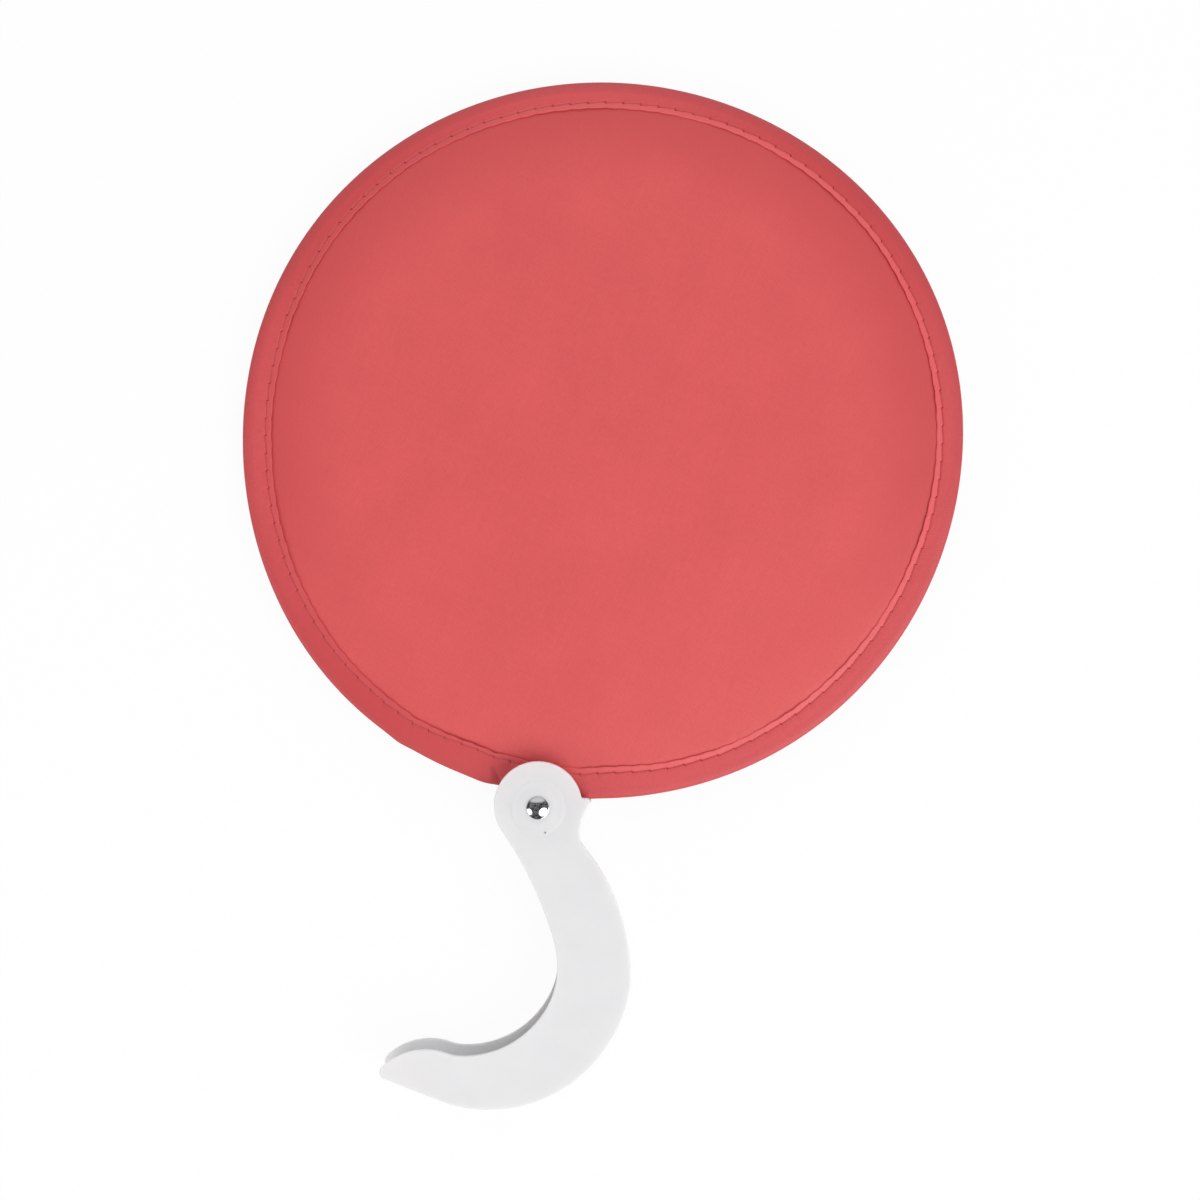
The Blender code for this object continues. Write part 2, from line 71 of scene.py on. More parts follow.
# Studio
# A white table in a white room. One large soft lamp stands low at the lower right, a weaker one at the
# lower left, and the room itself lights the rest.
class Wire:
    """A shader socket. Arithmetic on it adds Math nodes, and node() adds a node of any other kind."""

    def __init__(self, tree, socket=None):
        self.tree = tree
        self.socket = socket

    def node(self, kind, settings=None, inputs=None, output=0):
        made = self.tree.nodes.new("ShaderNode" + kind)
        for name, value in (settings or {}).items():
            setattr(made, name, value)
        for name, value in (inputs or {}).items():
            if isinstance(value, Wire):
                self.tree.links.new(value.socket, made.inputs[name])
            else:
                made.inputs[name].default_value = value
        return Wire(self.tree, made.outputs[output] if made.outputs else None)

    def maths(self, operation, *values):
        return self.node("Math", {"operation": operation}, dict(enumerate(values)))

    def __add__(self, other):
        return self.maths("ADD", self, other)

    def __radd__(self, other):
        return self.maths("ADD", other, self)

    def __sub__(self, other):
        return self.maths("SUBTRACT", self, other)

    def __rsub__(self, other):
        return self.maths("SUBTRACT", other, self)

    def __mul__(self, other):
        return self.maths("MULTIPLY", self, other)

    def __rmul__(self, other):
        return self.maths("MULTIPLY", other, self)

    def __abs__(self):
        return self.maths("ABSOLUTE", self)

    def sine(self):
        return self.maths("SINE", self)

    def between(self, low, high):
        """A colour between two, each a colour or a socket, by this socket's value."""
        ends = [end if isinstance(end, Wire) else (*end, 1.0) for end in (low, high)]
        return self.node("Mix", {"data_type": "RGBA"}, {0: self, 6: ends[0], 7: ends[1]}, 2)

    def share(self, start, end, least=0.0):
        """How far this value is from a start to an end, as a smooth share from the least to 1."""
        limits = {"Value": self, "From Min": start, "From Max": end, "To Min": least}
        return self.node("MapRange", {"interpolation_type": "SMOOTHSTEP"}, limits)

    def coordinates(self, kind):
        return self.node("TexCoord", {}, {}, kind)

    def grain(self, scale, detail=2.0, roughness=0.5):
        """Noise over these coordinates."""
        inputs = {"Vector": self, "Scale": scale, "Detail": detail, "Roughness": roughness}
        return self.node("TexNoise", {}, inputs)

    def stretched(self, scale, turn=0.0):
        """These coordinates turned about Z and scaled."""
        inputs = {"Vector": self, "Scale": scale, "Rotation": (0.0, 0.0, turn)}
        return self.node("Mapping", {}, inputs)

    def part(self, axis):
        return self.node("SeparateXYZ", {}, {0: self}, axis)


AMBIENT, WALL_LIGHT = 0.45, 1.36
FLOOR_HALF = 1.6
FLOOR_DROP = 0.0003
FLOOR_ALBEDO = 0.90
FLOOR_GLOW = 0.94
LAMP_FAR = 1.6
# Each lamp's direction, height over the table, size and power
KEY_LAMP = (math.radians(-45), math.radians(40), 1.7, 17.5)
FILL_LAMP = (math.radians(-149), math.radians(22), 0.95, 5.0)
# What polished metal mirrors: dark, cluttered room, with a pale wall behind the top of the fan
ROOM_DARK, ROOM_PALE, WALL_PALE = 0.004, 0.26, 0.66
CLUTTER_MIDDLE, CLUTTER_CONTRAST = 0.38, 3.2
CLUTTER_GRAIN = (4.6, 4.0, 0.6)
WALL_AZIMUTH, WALL_RISE = math.radians(94), math.radians(4)
WALL_WHOLE, WALL_EDGE = math.cos(math.radians(44)), math.cos(math.radians(60))


def direction(azimuth, rise):
    flat = math.cos(rise)
    return Vector((math.cos(azimuth) * flat, math.sin(azimuth) * flat, math.sin(rise)))


world = bpy.data.worlds.new("white_room")
world.use_nodes = True
world.node_tree.nodes.clear()
scene.world = world
room = Wire(world.node_tree)
seen = room.node("LightPath", {}, {}, "Is Camera Ray")
mirrored = room.node("LightPath", {}, {}, "Is Glossy Ray")
around = room.coordinates("Generated")
toward_wall = direction(WALL_AZIMUTH, WALL_RISE)
near_wall = room.node("VectorMath", {"operation": "DOT_PRODUCT"}, {0: around, 1: toward_wall}, 1)
on_wall = near_wall.share(WALL_EDGE, WALL_WHOLE)
clutter = CLUTTER_MIDDLE + CLUTTER_CONTRAST * (around.grain(*CLUTTER_GRAIN) - 0.5)
clutter = clutter.between((ROOM_DARK,) * 3, (ROOM_PALE,) * 3)
reflected = on_wall.between(clutter, (WALL_PALE,) * 3)
shining = on_wall.between((AMBIENT,) * 3, (WALL_LIGHT,) * 3)
sky = seen.between(mirrored.between(shining, reflected), (1.0,) * 3)
glow = room.node("Background", {}, {"Color": sky, "Strength": 1.0})
room.node("OutputWorld", {}, {"Surface": glow})


def lamp(name, azimuth, height, size, power):
    """A soft round lamp that looks at the middle of the fan."""
    light = bpy.data.lights.new(name, "AREA")
    light.shape = "DISK"
    light.size = size
    light.energy = power
    stand = bpy.data.objects.new(name, light)
    away = direction(azimuth, height)
    stand.location = away * LAMP_FAR
    stand.rotation_mode = "QUATERNION"
    stand.rotation_quaternion = away.to_track_quat("Z", "Y")
    scene.collection.objects.link(stand)


lamp("key_lamp", *KEY_LAMP)
lamp("fill_lamp", *FILL_LAMP)

bm = bmesh.new()
bmesh.ops.create_grid(bm, x_segments=1, y_segments=1, size=FLOOR_HALF)
bmesh.ops.translate(bm, verts=bm.verts, vec=(0.0, 0.0, -FLOOR_DROP))
mesh = bpy.data.meshes.new("table_top")
bm.to_mesh(mesh)
bm.free()
paper = bpy.data.materials.new("white_paper")
paper.use_nodes = True
paper.node_tree.nodes.clear()
sheet = Wire(paper.node_tree)
seen = sheet.node("LightPath", {}, {}, "Is Camera Ray")
shaded = sheet.node("BsdfDiffuse", {}, {"Color": (FLOOR_ALBEDO, FLOOR_ALBEDO, FLOOR_ALBEDO, 1.0)})
lit = sheet.node("Emission", {}, {"Color": (1.0, 1.0, 1.0, 1.0), "Strength": 1.0})
paper_look = sheet.node("MixShader", {}, {0: seen * FLOOR_GLOW, 1: shaded, 2: lit})
sheet.node("OutputMaterial", {}, {"Surface": paper_look})
mesh.materials.append(paper)
table_top = bpy.data.objects.new("table_top", mesh)
scene.collection.objects.link(table_top)

# Grip shells
# Two halves moulded in white polypropylene, with a fine satin texture. Each is a flat plate with half of
# the outer wall on it. Pegs hold them together, and the rivet goes through bosses in the round head.
PIVOT = Vector(frame["joints"][0]["pos_m"])
TOUCH = 0.0003
CHANNEL_WIDTH = 0.0128
PLATE_THICKNESS = 0.0016
WALL_THICKNESS = 0.0016
EDGE_ROUND = 0.0005
EDGE_STEPS = 4
HEAD_RADIUS = 0.0148
HEAD_OFFSET = Vector((0.0, 0.0007))
HEAD_FROM = math.radians(11)
HEAD_TO = math.radians(213)
PAD_FLAT_RADIUS = 0.0044
PAD_RINGS = (0.0052, 0.0060, 0.0068, 0.0076)
PAD_TOP_RADIUS = 0.0080
PAD_FOOT_RADIUS = 0.0098
PAD_HEIGHT = 0.0006
PAD_STEP = 0.00022
PAD_BITE = 0.00002
PAD_STEPS = 12
HUB_THICKNESS = 0.0088
RIVET_HEAD_RADIUS = 0.00375
RIVET_BORE = 0.0019
DISH_CLEARANCE = 0.0008
DISH_DEPTH = 0.0008
RIVET_BOSS_RADIUS = 0.0050
SHELL_PEG_RADIUS = 0.0012
SHELL_PEG_LENGTH = 0.0030
SHELL_BOSS_RADIUS = 0.0026
SHELL_BOSS_DROP = 0.0002
SHELL_BOSS_BITE = 0.0008
GATE_PLACE = (0.0024, -0.0083)
GATE_RADIUS = 0.0003
GATE_DEPTH = 0.0012
GRIP_DARK, GRIP_PALE = (0.775, 0.765, 0.775), (0.815, 0.808, 0.818)
# Corners of the outline, seen from the rivet, and how far the edge bows outward on its way to the next
WALL_END = (-0.0410, -0.0953, 0.0001)
BELLY = (-0.0298, -0.0996, 0.0171)
BACK = (0.0313, -0.0588, 0.0046)
NOTCH = (0.0143, -0.0116, -0.0016)
TOOTH_POINT = (0.0181, 0.0018, 0.0)
TOOTH_TOP = (0.0170, 0.0031, 0.0)
TOOTH_ROOT = (0.0149, 0.0032, 0.0)
UP_THE_BACK = (WALL_END, BELLY, BACK, NOTCH, TOOTH_POINT, TOOTH_TOP, TOOTH_ROOT)
NECK = (-0.0074, -0.0152, -0.0007)
STEM_INSIDE = (0.0036, -0.0393, -0.0004)
BEND_INSIDE = (0.0064, -0.0510, -0.0021)
PALM = (0.0002, -0.0713, -0.0037)
DIP = (-0.0270, -0.0835, -0.0001)
BUMP = (-0.0303, -0.0828, 0.0033)
TIP_TOP = (-0.0527, -0.0874, 0.0009)
TIP_UNDER = (-0.0521, -0.0909, 0.0001)
DOWN_THE_HOLLOW = (NECK, STEM_INSIDE, BEND_INSIDE, PALM, DIP, BUMP, TIP_TOP, TIP_UNDER)
WALL_LEAN = Vector((-0.0016, -0.0006))
PEG_PLACES = ((BELLY, BACK, 0.12), (BELLY, BACK, 0.80), (BACK, NOTCH, 0.82))
ARC_STEP = math.radians(2)
ARC_CHORD = 0.0005
MITRE_LIMIT = 0.5
HALVINGS = 30
SAME_PLACE = 0.000003
ROUND_SIDES = 96
SHARP_ANGLE = math.radians(32)
DISC_RADIUS = 0.1225
disc_low, disc_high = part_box("disc_panel")
DISC_CENTRE = (disc_low + disc_high) / 2
GRIP_HALF = CHANNEL_WIDTH / 2 + PLATE_THICKNESS
FRONT, REAR = 1, -1


def ease(value, start, end):
    """0 before the start, 1 after the end and smooth between."""
    share = min(1.0, max(0.0, (value - start) / (end - start)))
    return share * share * (3 - 2 * share)


def mix(low, high, share):
    return low + (high - low) * share


def arc_place(start, end, rise, share):
    """A point part of the way along an arc between two points, and its normal to the right of the way."""
    chord = end - start
    along = chord.normalized()
    right = Vector((along.y, -along.x))
    if rise == 0:
        return start + chord * share, right
    radius = (chord.length_squared / 4 + rise * rise) / (2 * abs(rise))
    half_angle = 2 * math.atan(2 * abs(rise) / chord.length)
    side = math.copysign(1, rise)
    centre = (start + end) / 2 - right * side * (radius - abs(rise))
    angle = half_angle * (2 * share - 1)
    spoke = along * math.sin(angle) + right * side * math.cos(angle)
    return centre + spoke * radius, spoke * side


def way_along(corners, end):
    """Points from corner to corner, up to an end that is left out."""
    places = [Vector(corner[:2]) for corner in corners] + [end]
    points = []
    for start, after, corner in zip(places, places[1:], corners):
        chord = (after - start).length
        angle = 4 * math.atan(2 * abs(corner[2]) / chord)
        steps = max(1, min(math.ceil(angle / ARC_STEP), math.ceil(chord / ARC_CHORD)))
        points += [arc_place(start, after, corner[2], k / steps)[0] for k in range(steps)]
    return points


def grip_outline():
    """The closed outline, from where the wall starts at the hook's tip, up the back and over the head."""
    steps = math.ceil((HEAD_TO - HEAD_FROM) / ARC_STEP)
    angles = [HEAD_FROM + (HEAD_TO - HEAD_FROM) * k / steps for k in range(steps + 1)]
    head = [HEAD_OFFSET + HEAD_RADIUS * Vector((math.cos(a), math.sin(a))) for a in angles]
    return way_along(UP_THE_BACK, head[0]) + head + way_along(DOWN_THE_HOLLOW, Vector(WALL_END[:2]))


def inset_line(points, distance):
    """Each point moved to the left of the way along a closed line, so that the edges move by a distance."""
    moved = []
    for before, here, after in zip(points[-1:] + points[:-1], points, points[1:] + points[:1]):
        one = (here - before).normalized()
        two = (after - here).normalized()
        left = (Vector((-one.y, one.x)) + Vector((-two.y, two.x))).normalized()
        moved.append(here + left * distance / max(MITRE_LIMIT, left.dot(Vector((-one.y, one.x)))))
    return moved


def up_to_rim(line):
    """The start of a line, up to where it comes within a clearance of the disc's rim at rest."""
    centre = (DISC_CENTRE - PIVOT).xy
    clear = DISC_RADIUS + TOUCH
    kept = [line[0]]
    for point in line[1:]:
        if (point - centre).length < clear:
            inside, outside = point, kept[-1]
            for _ in range(HALVINGS):
                middle = (inside + outside) / 2
                if (middle - centre).length < clear:
                    inside = middle
                else:
                    outside = middle
            return kept + [outside]
        kept.append(point)
    return kept


def add_mesh(name, bm, material=None):
    """Ends a mesh as an object at the origin, smooth apart from its sharp edges."""
    bmesh.ops.recalc_face_normals(bm, faces=bm.faces)
    mesh = bpy.data.meshes.new(name)
    bm.to_mesh(mesh)
    bm.free()
    mesh.shade_smooth()
    mesh.set_sharp_from_angle(angle=SHARP_ANGLE)
    if material:
        mesh.materials.append(material)
    made = bpy.data.objects.new(name, mesh)
    scene.collection.objects.link(made)
    return made


def combined(target, helpers, material):
    """Carries out (operation, helper) Booleans on a target about the rivet's axis, and puts it in place."""
    for operation, helper in helpers:
        boolean = target.modifiers.new(helper.name, "BOOLEAN")
        boolean.operation = operation
        boolean.object = helper
    evaluated = target.evaluated_get(bpy.context.evaluated_depsgraph_get())
    mesh = bpy.data.meshes.new_from_object(evaluated)
    target.modifiers.clear()
    old = target.data
    target.data = mesh
    bpy.data.meshes.remove(old)
    for _, helper in helpers:
        bpy.data.objects.remove(helper)
    mesh.name = target.name
    mesh.transform(Matrix.Translation(PIVOT))
    mesh.materials.clear()
    mesh.materials.append(material)
    mesh.shade_smooth()
    mesh.set_sharp_from_angle(angle=SHARP_ANGLE)
    target.modifiers.new("even_shading", "WEIGHTED_NORMAL").keep_sharp = True


def round_edges(bm, edges, offset):
    bmesh.ops.bevel(
        bm, geom=edges, offset=offset, segments=EDGE_STEPS, profile=0.5, affect="EDGES", material=-1
    )


def post(radius, start, end, place=(0.0, 0.0), edge=0.0, name="helper"):
    """A round post along Z from one height to the other, with its far edge rounded."""
    bm = bmesh.new()
    size = {"radius1": radius, "radius2": radius, "depth": abs(end - start)}
    middle = Matrix.Translation((*place, (start + end) / 2))
    bmesh.ops.create_cone(bm, cap_ends=True, segments=ROUND_SIDES, matrix=middle, **size)
    if edge:
        rim = [e for e in bm.edges if all(abs(v.co.z - end) < SAME_PLACE for v in e.verts)]
        round_edges(bm, rim, edge)
    return add_mesh(name, bm)


def turned(name, profile, material=None, place=PIVOT):
    """A body of revolution about a place, from (radius, height) points that start and end on its axis."""
    bm = bmesh.new()
    points = [bm.verts.new((radius, 0.0, height)) for radius, height in profile]
    edges = [bm.edges.new(pair) for pair in zip(points, points[1:])]
    about = {"cent": (0.0, 0.0, 0.0), "axis": (0.0, 0.0, 1.0)}
    bmesh.ops.spin(bm, geom=points + edges, angle=math.tau, steps=ROUND_SIDES, use_merge=True, **about)
    bmesh.ops.remove_doubles(bm, verts=bm.verts, dist=SAME_PLACE)
    bmesh.ops.translate(bm, verts=bm.verts, vec=place)
    return add_mesh(name, bm, material)


def lean_share(place, outline):
    """Share of the wall's full lean at a place near the edge: 1 at the notch, 0 at the back and the tooth."""
    back, notch, tooth = (
        min(range(len(outline)), key=lambda k: (outline[k] - Vector(corner[:2])).length)
        for corner in (BACK, NOTCH, TOOTH_POINT)
    )
    nearest, share = 2 * WALL_THICKNESS, 0.0
    for k in range(back, tooth):
        edge = outline[k + 1] - outline[k]
        part = min(1.0, max(0.0, (place - outline[k]).dot(edge) / edge.length_squared))
        distance = (outline[k] + edge * part - place).length
        if distance < nearest:
            nearest = distance
            share = min((k + part - back) / (notch - back), (tooth - k - part) / (tooth - notch))
    return share


def lean_wall(bm, outline):
    """Sets the wall and both plates' edges in toward the rear, so that the front edge hides them."""
    low, high = sorted((Vector(BACK[:2]).y, Vector(TOOTH_POINT[:2]).y))
    for vert in bm.verts:
        if low < vert.co.y < high and vert.co.x > 0:
            depth = (GRIP_HALF - vert.co.z) / (2 * GRIP_HALF)
            vert.co.xy += WALL_LEAN * (lean_share(vert.co.xy, outline) * depth)


def extrude(bm, faces, height):
    """Pulls faces up to a height, on new sides, and gives the pulled faces."""
    grown = bmesh.ops.extrude_face_region(bm, geom=faces)["geom"]
    for vert in (item for item in grown if isinstance(item, bmesh.types.BMVert)):
        vert.co.z = height
    return [item for item in grown if isinstance(item, bmesh.types.BMFace)]


def channel_half(side):
    """A flat plate of the grip's outline, with half of the wall standing on it along the outer edge."""
    outline = grip_outline()
    outer = up_to_rim(outline)
    inner = up_to_rim(inset_line(outline, WALL_THICKNESS))
    outer_face, inner_face, split = side * GRIP_HALF, side * CHANNEL_WIDTH / 2, side * TOUCH / 2
    bm = bmesh.new()
    outside = bm.faces.new([bm.verts.new((*point, outer_face)) for point in outline])
    plate = extrude(bm, [outside], inner_face)[0]
    start, last, beyond = (
        min(plate.verts, key=lambda vert: (vert.co.xy - outline[k]).length)
        for k in (0, len(outer) - 2, len(outer) - 1)
    )
    crossed = next(edge for edge in last.link_edges if edge.other_vert(last) == beyond)
    end = bmesh.utils.edge_split(crossed, last, 0.5)[1]
    end.co.xy = outer[-1]
    other = bmesh.utils.face_split(plate, start, end, coords=[(*point, inner_face) for point in inner])[0]
    wall_foot = min((plate, other), key=lambda face: face.calc_area())
    extrude(bm, [wall_foot], split)
    bmesh.ops.delete(bm, geom=[wall_foot], context="FACES_ONLY")
    lean_wall(bm, outline)
    bmesh.ops.recalc_face_normals(bm, faces=bm.faces)
    round_edges(bm, list(outside.edges), EDGE_ROUND)
    return bm


def new_finish(name, **constants):
    """A new material with one Principled shader, and a Wire to add nodes to it."""
    material = bpy.data.materials.new(name)
    material.use_nodes = True
    shader = material.node_tree.nodes["Principled BSDF"]
    for socket, value in constants.items():
        shader.inputs[socket.replace("_", " ")].default_value = value
    return material, Wire(material.node_tree)


def feed(material, socket, wire):
    """Links a wire to a socket of the material's Principled shader."""
    material.node_tree.links.new(wire.socket, material.node_tree.nodes["Principled BSDF"].inputs[socket])


def rise(wire, height, distance, strength=1.0, under=None):
    """The normal of a surface that a height raises by up to a distance, in metres."""
    inputs = {"Height": height, "Distance": distance, "Strength": strength}
    if under:
        inputs["Normal"] = under
    return wire.node("Bump", {}, inputs)


def white_plastic():
    """Satin white polypropylene: slightly milky, with faint clouding, an eroded grain and rubbed patches."""
    milky = {"Subsurface_Weight": 0.6, "Subsurface_Radius": (1.0, 0.9, 0.85), "Subsurface_Scale": 0.003}
    material, wire = new_finish("satin_white_plastic", IOR=1.49, **milky)
    place = wire.coordinates("Object")
    feed(material, "Base Color", place.grain(90.0, 3.0).between(GRIP_DARK, GRIP_PALE))
    rubbed = place.grain(260.0, 4.0, 0.65)
    feed(material, "Roughness", 0.36 + 0.12 * rubbed)
    soft = rise(wire, place.grain(420.0, 1.0), 0.00004, 0.6)
    feed(material, "Normal", rise(wire, place.grain(7000.0, 1.0), 0.000012, 0.7, soft))
    return material


grip_plastic = white_plastic()


def shell(name, side):
    """One moulded half of the grip, with its rivet boss and its pegs or sockets for the other half."""
    in_plate = side * (CHANNEL_WIDTH + PLATE_THICKNESS) / 2
    half = add_mesh(name, channel_half(side))
    boss = post(RIVET_BOSS_RADIUS, in_plate, side * (HUB_THICKNESS / 2 + TOUCH))
    helpers = [("UNION", boss)]
    if side == FRONT:
        top, edge, foot = GRIP_HALF + PAD_HEIGHT, GRIP_HALF + PAD_STEP, GRIP_HALF - PAD_BITE
        section = [(0.0, top), (PAD_FLAT_RADIUS, top)]
        for radius in PAD_RINGS:
            section += [(radius, mix(top, edge, ease(radius, PAD_FLAT_RADIUS, PAD_TOP_RADIUS)))]
        for k in range(PAD_STEPS + 1):
            radius = mix(PAD_TOP_RADIUS, PAD_FOOT_RADIUS, k / PAD_STEPS)
            section += [(radius, mix(edge, foot, ease(k, 0, PAD_STEPS)))]
        section += [(PAD_FOOT_RADIUS, in_plate), (0.0, in_plate)]
        pad = turned("pad", section, place=Vector())
        gate = post(GATE_RADIUS, GRIP_HALF - GATE_DEPTH, 2 * GRIP_HALF, GATE_PLACE)
        helpers += [("UNION", pad), ("DIFFERENCE", gate)]
    else:
        dish = post(RIVET_HEAD_RADIUS + DISH_CLEARANCE, DISH_DEPTH - GRIP_HALF, -2 * GRIP_HALF)
        helpers += [("DIFFERENCE", dish)]
    for corner, after, share in PEG_PLACES:
        point, outward = arc_place(Vector(corner[:2]), Vector(after[:2]), corner[2], share)
        place = point - outward * (WALL_THICKNESS + SHELL_BOSS_RADIUS - SHELL_BOSS_BITE)
        place += WALL_LEAN * (lean_share(point, grip_outline()) / 2)
        stud = post(SHELL_BOSS_RADIUS, in_plate, side * (TOUCH / 2 + SHELL_BOSS_DROP), place)
        helpers += [("UNION", stud)]
        if side == FRONT:
            helpers += [("UNION", post(SHELL_PEG_RADIUS, in_plate, -SHELL_PEG_LENGTH, place))]
        else:
            depth = SHELL_PEG_LENGTH + TOUCH
            helpers += [("DIFFERENCE", post(SHELL_PEG_RADIUS + TOUCH, TOUCH, -depth, place))]
    helpers += [("DIFFERENCE", post(RIVET_BORE, 2 * GRIP_HALF, -2 * GRIP_HALF))]
    combined(half, helpers, grip_plastic)
    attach(half, "handle")
    return half


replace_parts(shell("grip_front", FRONT), "handle_front_shell")
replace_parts(shell("grip_rear", REAR), "handle_rear_shell")

# Rivet
# A domed cap of chromed brass on a post, pressed into a flat-headed nickelled tube from behind.
RIVET_DOME_HEIGHT = 0.0014
RIVET_BACK_HEIGHT = 0.0004
RIVET_BACK_SINK = 0.0001
RIVET_TUBE_RADIUS = 0.0016
RIVET_TUBE_WALL = 0.0004
RIVET_POST_LENGTH = 0.0090
DOME_STEPS = 20
CAP_EDGE = 0.00012
# Polishing marks: how fine they are along each axis, and their turn
MARKS = (900.0, 14000.0, 900.0)
MARKS_TURN = math.radians(31)


def bright_metal(name, colour, roughness, brushed):
    """Plated metal with fine polishing marks. The brushed share is how much they roughen it."""
    material, wire = new_finish(name, Metallic=1.0, Base_Color=(*colour, 1.0))
    marks = wire.coordinates("Object").stretched(MARKS, MARKS_TURN).grain(1.0, 3.0, 0.6)
    feed(material, "Roughness", roughness + brushed * marks)
    feed(material, "Normal", rise(wire, marks, 0.000002, 0.4))
    return material


post_radius = RIVET_TUBE_RADIUS - RIVET_TUBE_WALL - TOUCH
seat = GRIP_HALF + PAD_HEIGHT + TOUCH
ball = (RIVET_HEAD_RADIUS**2 + RIVET_DOME_HEIGHT**2) / (2 * RIVET_DOME_HEIGHT)
spread = math.asin(RIVET_HEAD_RADIUS / ball) * (1 - CAP_EDGE / RIVET_HEAD_RADIUS)
ball_at = seat - ball + RIVET_DOME_HEIGHT
angles = [spread * k / DOME_STEPS for k in range(DOME_STEPS + 1)]
dome = [(ball * math.sin(angle), ball_at + ball * math.cos(angle)) for angle in angles]
profile = dome + [(RIVET_HEAD_RADIUS, seat + CAP_EDGE / 2), (RIVET_HEAD_RADIUS - CAP_EDGE, seat)]
profile += [(post_radius, seat), (post_radius, seat - RIVET_POST_LENGTH), (0.0, seat - RIVET_POST_LENGTH)]
chrome = bright_metal("mirror_chrome", (0.80, 0.80, 0.82), 0.03, 0.05)
front_cap = turned("rivet_dome", profile, chrome)
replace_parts(front_cap, "rivet_front_cap")
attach(front_cap, "handle")

face = RIVET_BACK_SINK - GRIP_HALF
back_seat = face + RIVET_BACK_HEIGHT
bore = RIVET_TUBE_RADIUS - RIVET_TUBE_WALL
mouth = GRIP_HALF + PAD_HEIGHT
profile = [(0.0, face), (RIVET_HEAD_RADIUS - CAP_EDGE, face), (RIVET_HEAD_RADIUS, face + CAP_EDGE)]
profile += [(RIVET_HEAD_RADIUS, back_seat), (RIVET_TUBE_RADIUS, back_seat), (RIVET_TUBE_RADIUS, mouth)]
profile += [(bore, mouth), (bore, back_seat), (0.0, back_seat)]
nickel = bright_metal("plated_nickel", (0.66, 0.65, 0.62), 0.16, 0.16)
rear_cap = turned("rivet_tube", profile, nickel)
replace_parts(rear_cap, "rivet_rear_cap")
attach(rear_cap, "handle")

# Hoop
# A flat strip of blued spring steel bent into a hoop. A crimped sleeve of tinned sheet holds its two ends
# together, in the hem at the rivet. The hoop is a little out of round, and so is all that hangs on it.
HUB_ANGLE = math.atan2(*(PIVOT - DISC_CENTRE).yx)
BINDING_THICKNESS = 0.00035
STRIP_HEIGHT = 0.0020
STRIP_THICKNESS = 0.0006
STRIP_END_GAP = 0.0010
FERRULE_LENGTH = 0.0140
FERRULE_WALL = 0.0003
FERRULE_SEAM = 0.0006
SLEEVE_STEPS = 24
# Waves in a turn of the hoop, how high each is, and the angle in degrees at which it peaks
OVAL_WAVES = (
    (1, 0.00019, 318.5),
    (2, 0.00067, 28.7),
    (3, 0.00046, 10.1),
    (4, 0.00030, 41.4),
    (5, 0.00014, 14.3),
)
ROUND_NEAR_HUB = (0.0115, 0.021)
# Short bends of the strip beside the sleeve: angle from the hub, how far out and how long
KINKS = ((math.radians(-24.1), 0.0004, 0.0040), (math.radians(-8.8), 0.0004, 0.0055))
RING_STEPS = 720
RING_SECTORS = 24
STRIP_OUTER = DISC_RADIUS - BINDING_THICKNESS - TOUCH
STRIP_INNER = STRIP_OUTER - STRIP_THICKNESS


def from_hub(angle):
    """Distance along the rim from the hub to an angle, below 0 to the left of the hub."""
    turn = (angle - HUB_ANGLE + math.pi) % math.tau - math.pi
    return turn * DISC_RADIUS


def wavy(angle, waves):
    """The sum of (waves in a turn, height, peak in degrees) waves at an angle."""
    return sum(high * math.cos(wave * (angle - math.radians(peak))) for wave, high, peak in waves)


def out_of_round(angle):
    """How far the hoop stands out from a true circle at an angle."""
    oval = wavy(angle, OVAL_WAVES)
    for turn, high, reach in KINKS:
        oval += high * math.exp(-(((from_hub(angle) - turn * DISC_RADIUS) / reach) ** 2))
    return oval * ease(abs(from_hub(angle)), *ROUND_NEAR_HUB)


def polar(vert):
    """A vertex's angle and radius about the disc's centre."""
    out = vert.co.xy - DISC_CENTRE.xy
    return math.atan2(out.y, out.x), out.length


def put(vert, angle, radius, height):
    """Places a vertex by angle and radius about the disc's centre, and height above its mid-plane."""
    vert.co = DISC_CENTRE + Vector((radius * math.cos(angle), radius * math.sin(angle), height))


def spin_round(bm, line, turn, steps, sectors=1):
    """Spins a line of vertices and edges about the disc's centre, as equal sectors that join up."""
    about = {"cent": DISC_CENTRE, "axis": (0.0, 0.0, 1.0)}
    bmesh.ops.spin(bm, geom=line, angle=turn / sectors, steps=steps // sectors, **about)
    if sectors > 1:
        swept = bm.verts[:] + bm.edges[:] + bm.faces[:]
        rest = turn * (sectors - 1) / sectors
        bmesh.ops.spin(bm, geom=swept, angle=rest, steps=sectors - 1, use_duplicate=True, **about)
    bmesh.ops.remove_doubles(bm, verts=bm.verts, dist=SAME_PLACE)


def ring(section, start, end, steps, sectors=1):
    """A closed (radius, height) section spun about the disc's centre from one angle to another."""
    bm = bmesh.new()
    number = bm.verts.layers.int.new("place_in_section")
    loop = [bm.verts.new() for _ in section]
    for count, (radius, height) in enumerate(section):
        put(loop[count], start, radius, height)
        loop[count][number] = count
    edges = [bm.edges.new(pair) for pair in zip(loop, loop[1:] + loop[:1])]
    spin_round(bm, loop + edges, end - start, steps, sectors)
    open_ends = [edge for edge in bm.edges if edge.is_boundary]
    if open_ends:
        bmesh.ops.holes_fill(bm, edges=open_ends)
    return bm


def follow_hoop(bm):
    """Moves every vertex out or in with the hoop's own shape."""
    for vert in bm.verts:
        angle, radius = polar(vert)
        put(vert, angle, radius + out_of_round(angle), vert.co.z - DISC_CENTRE.z)


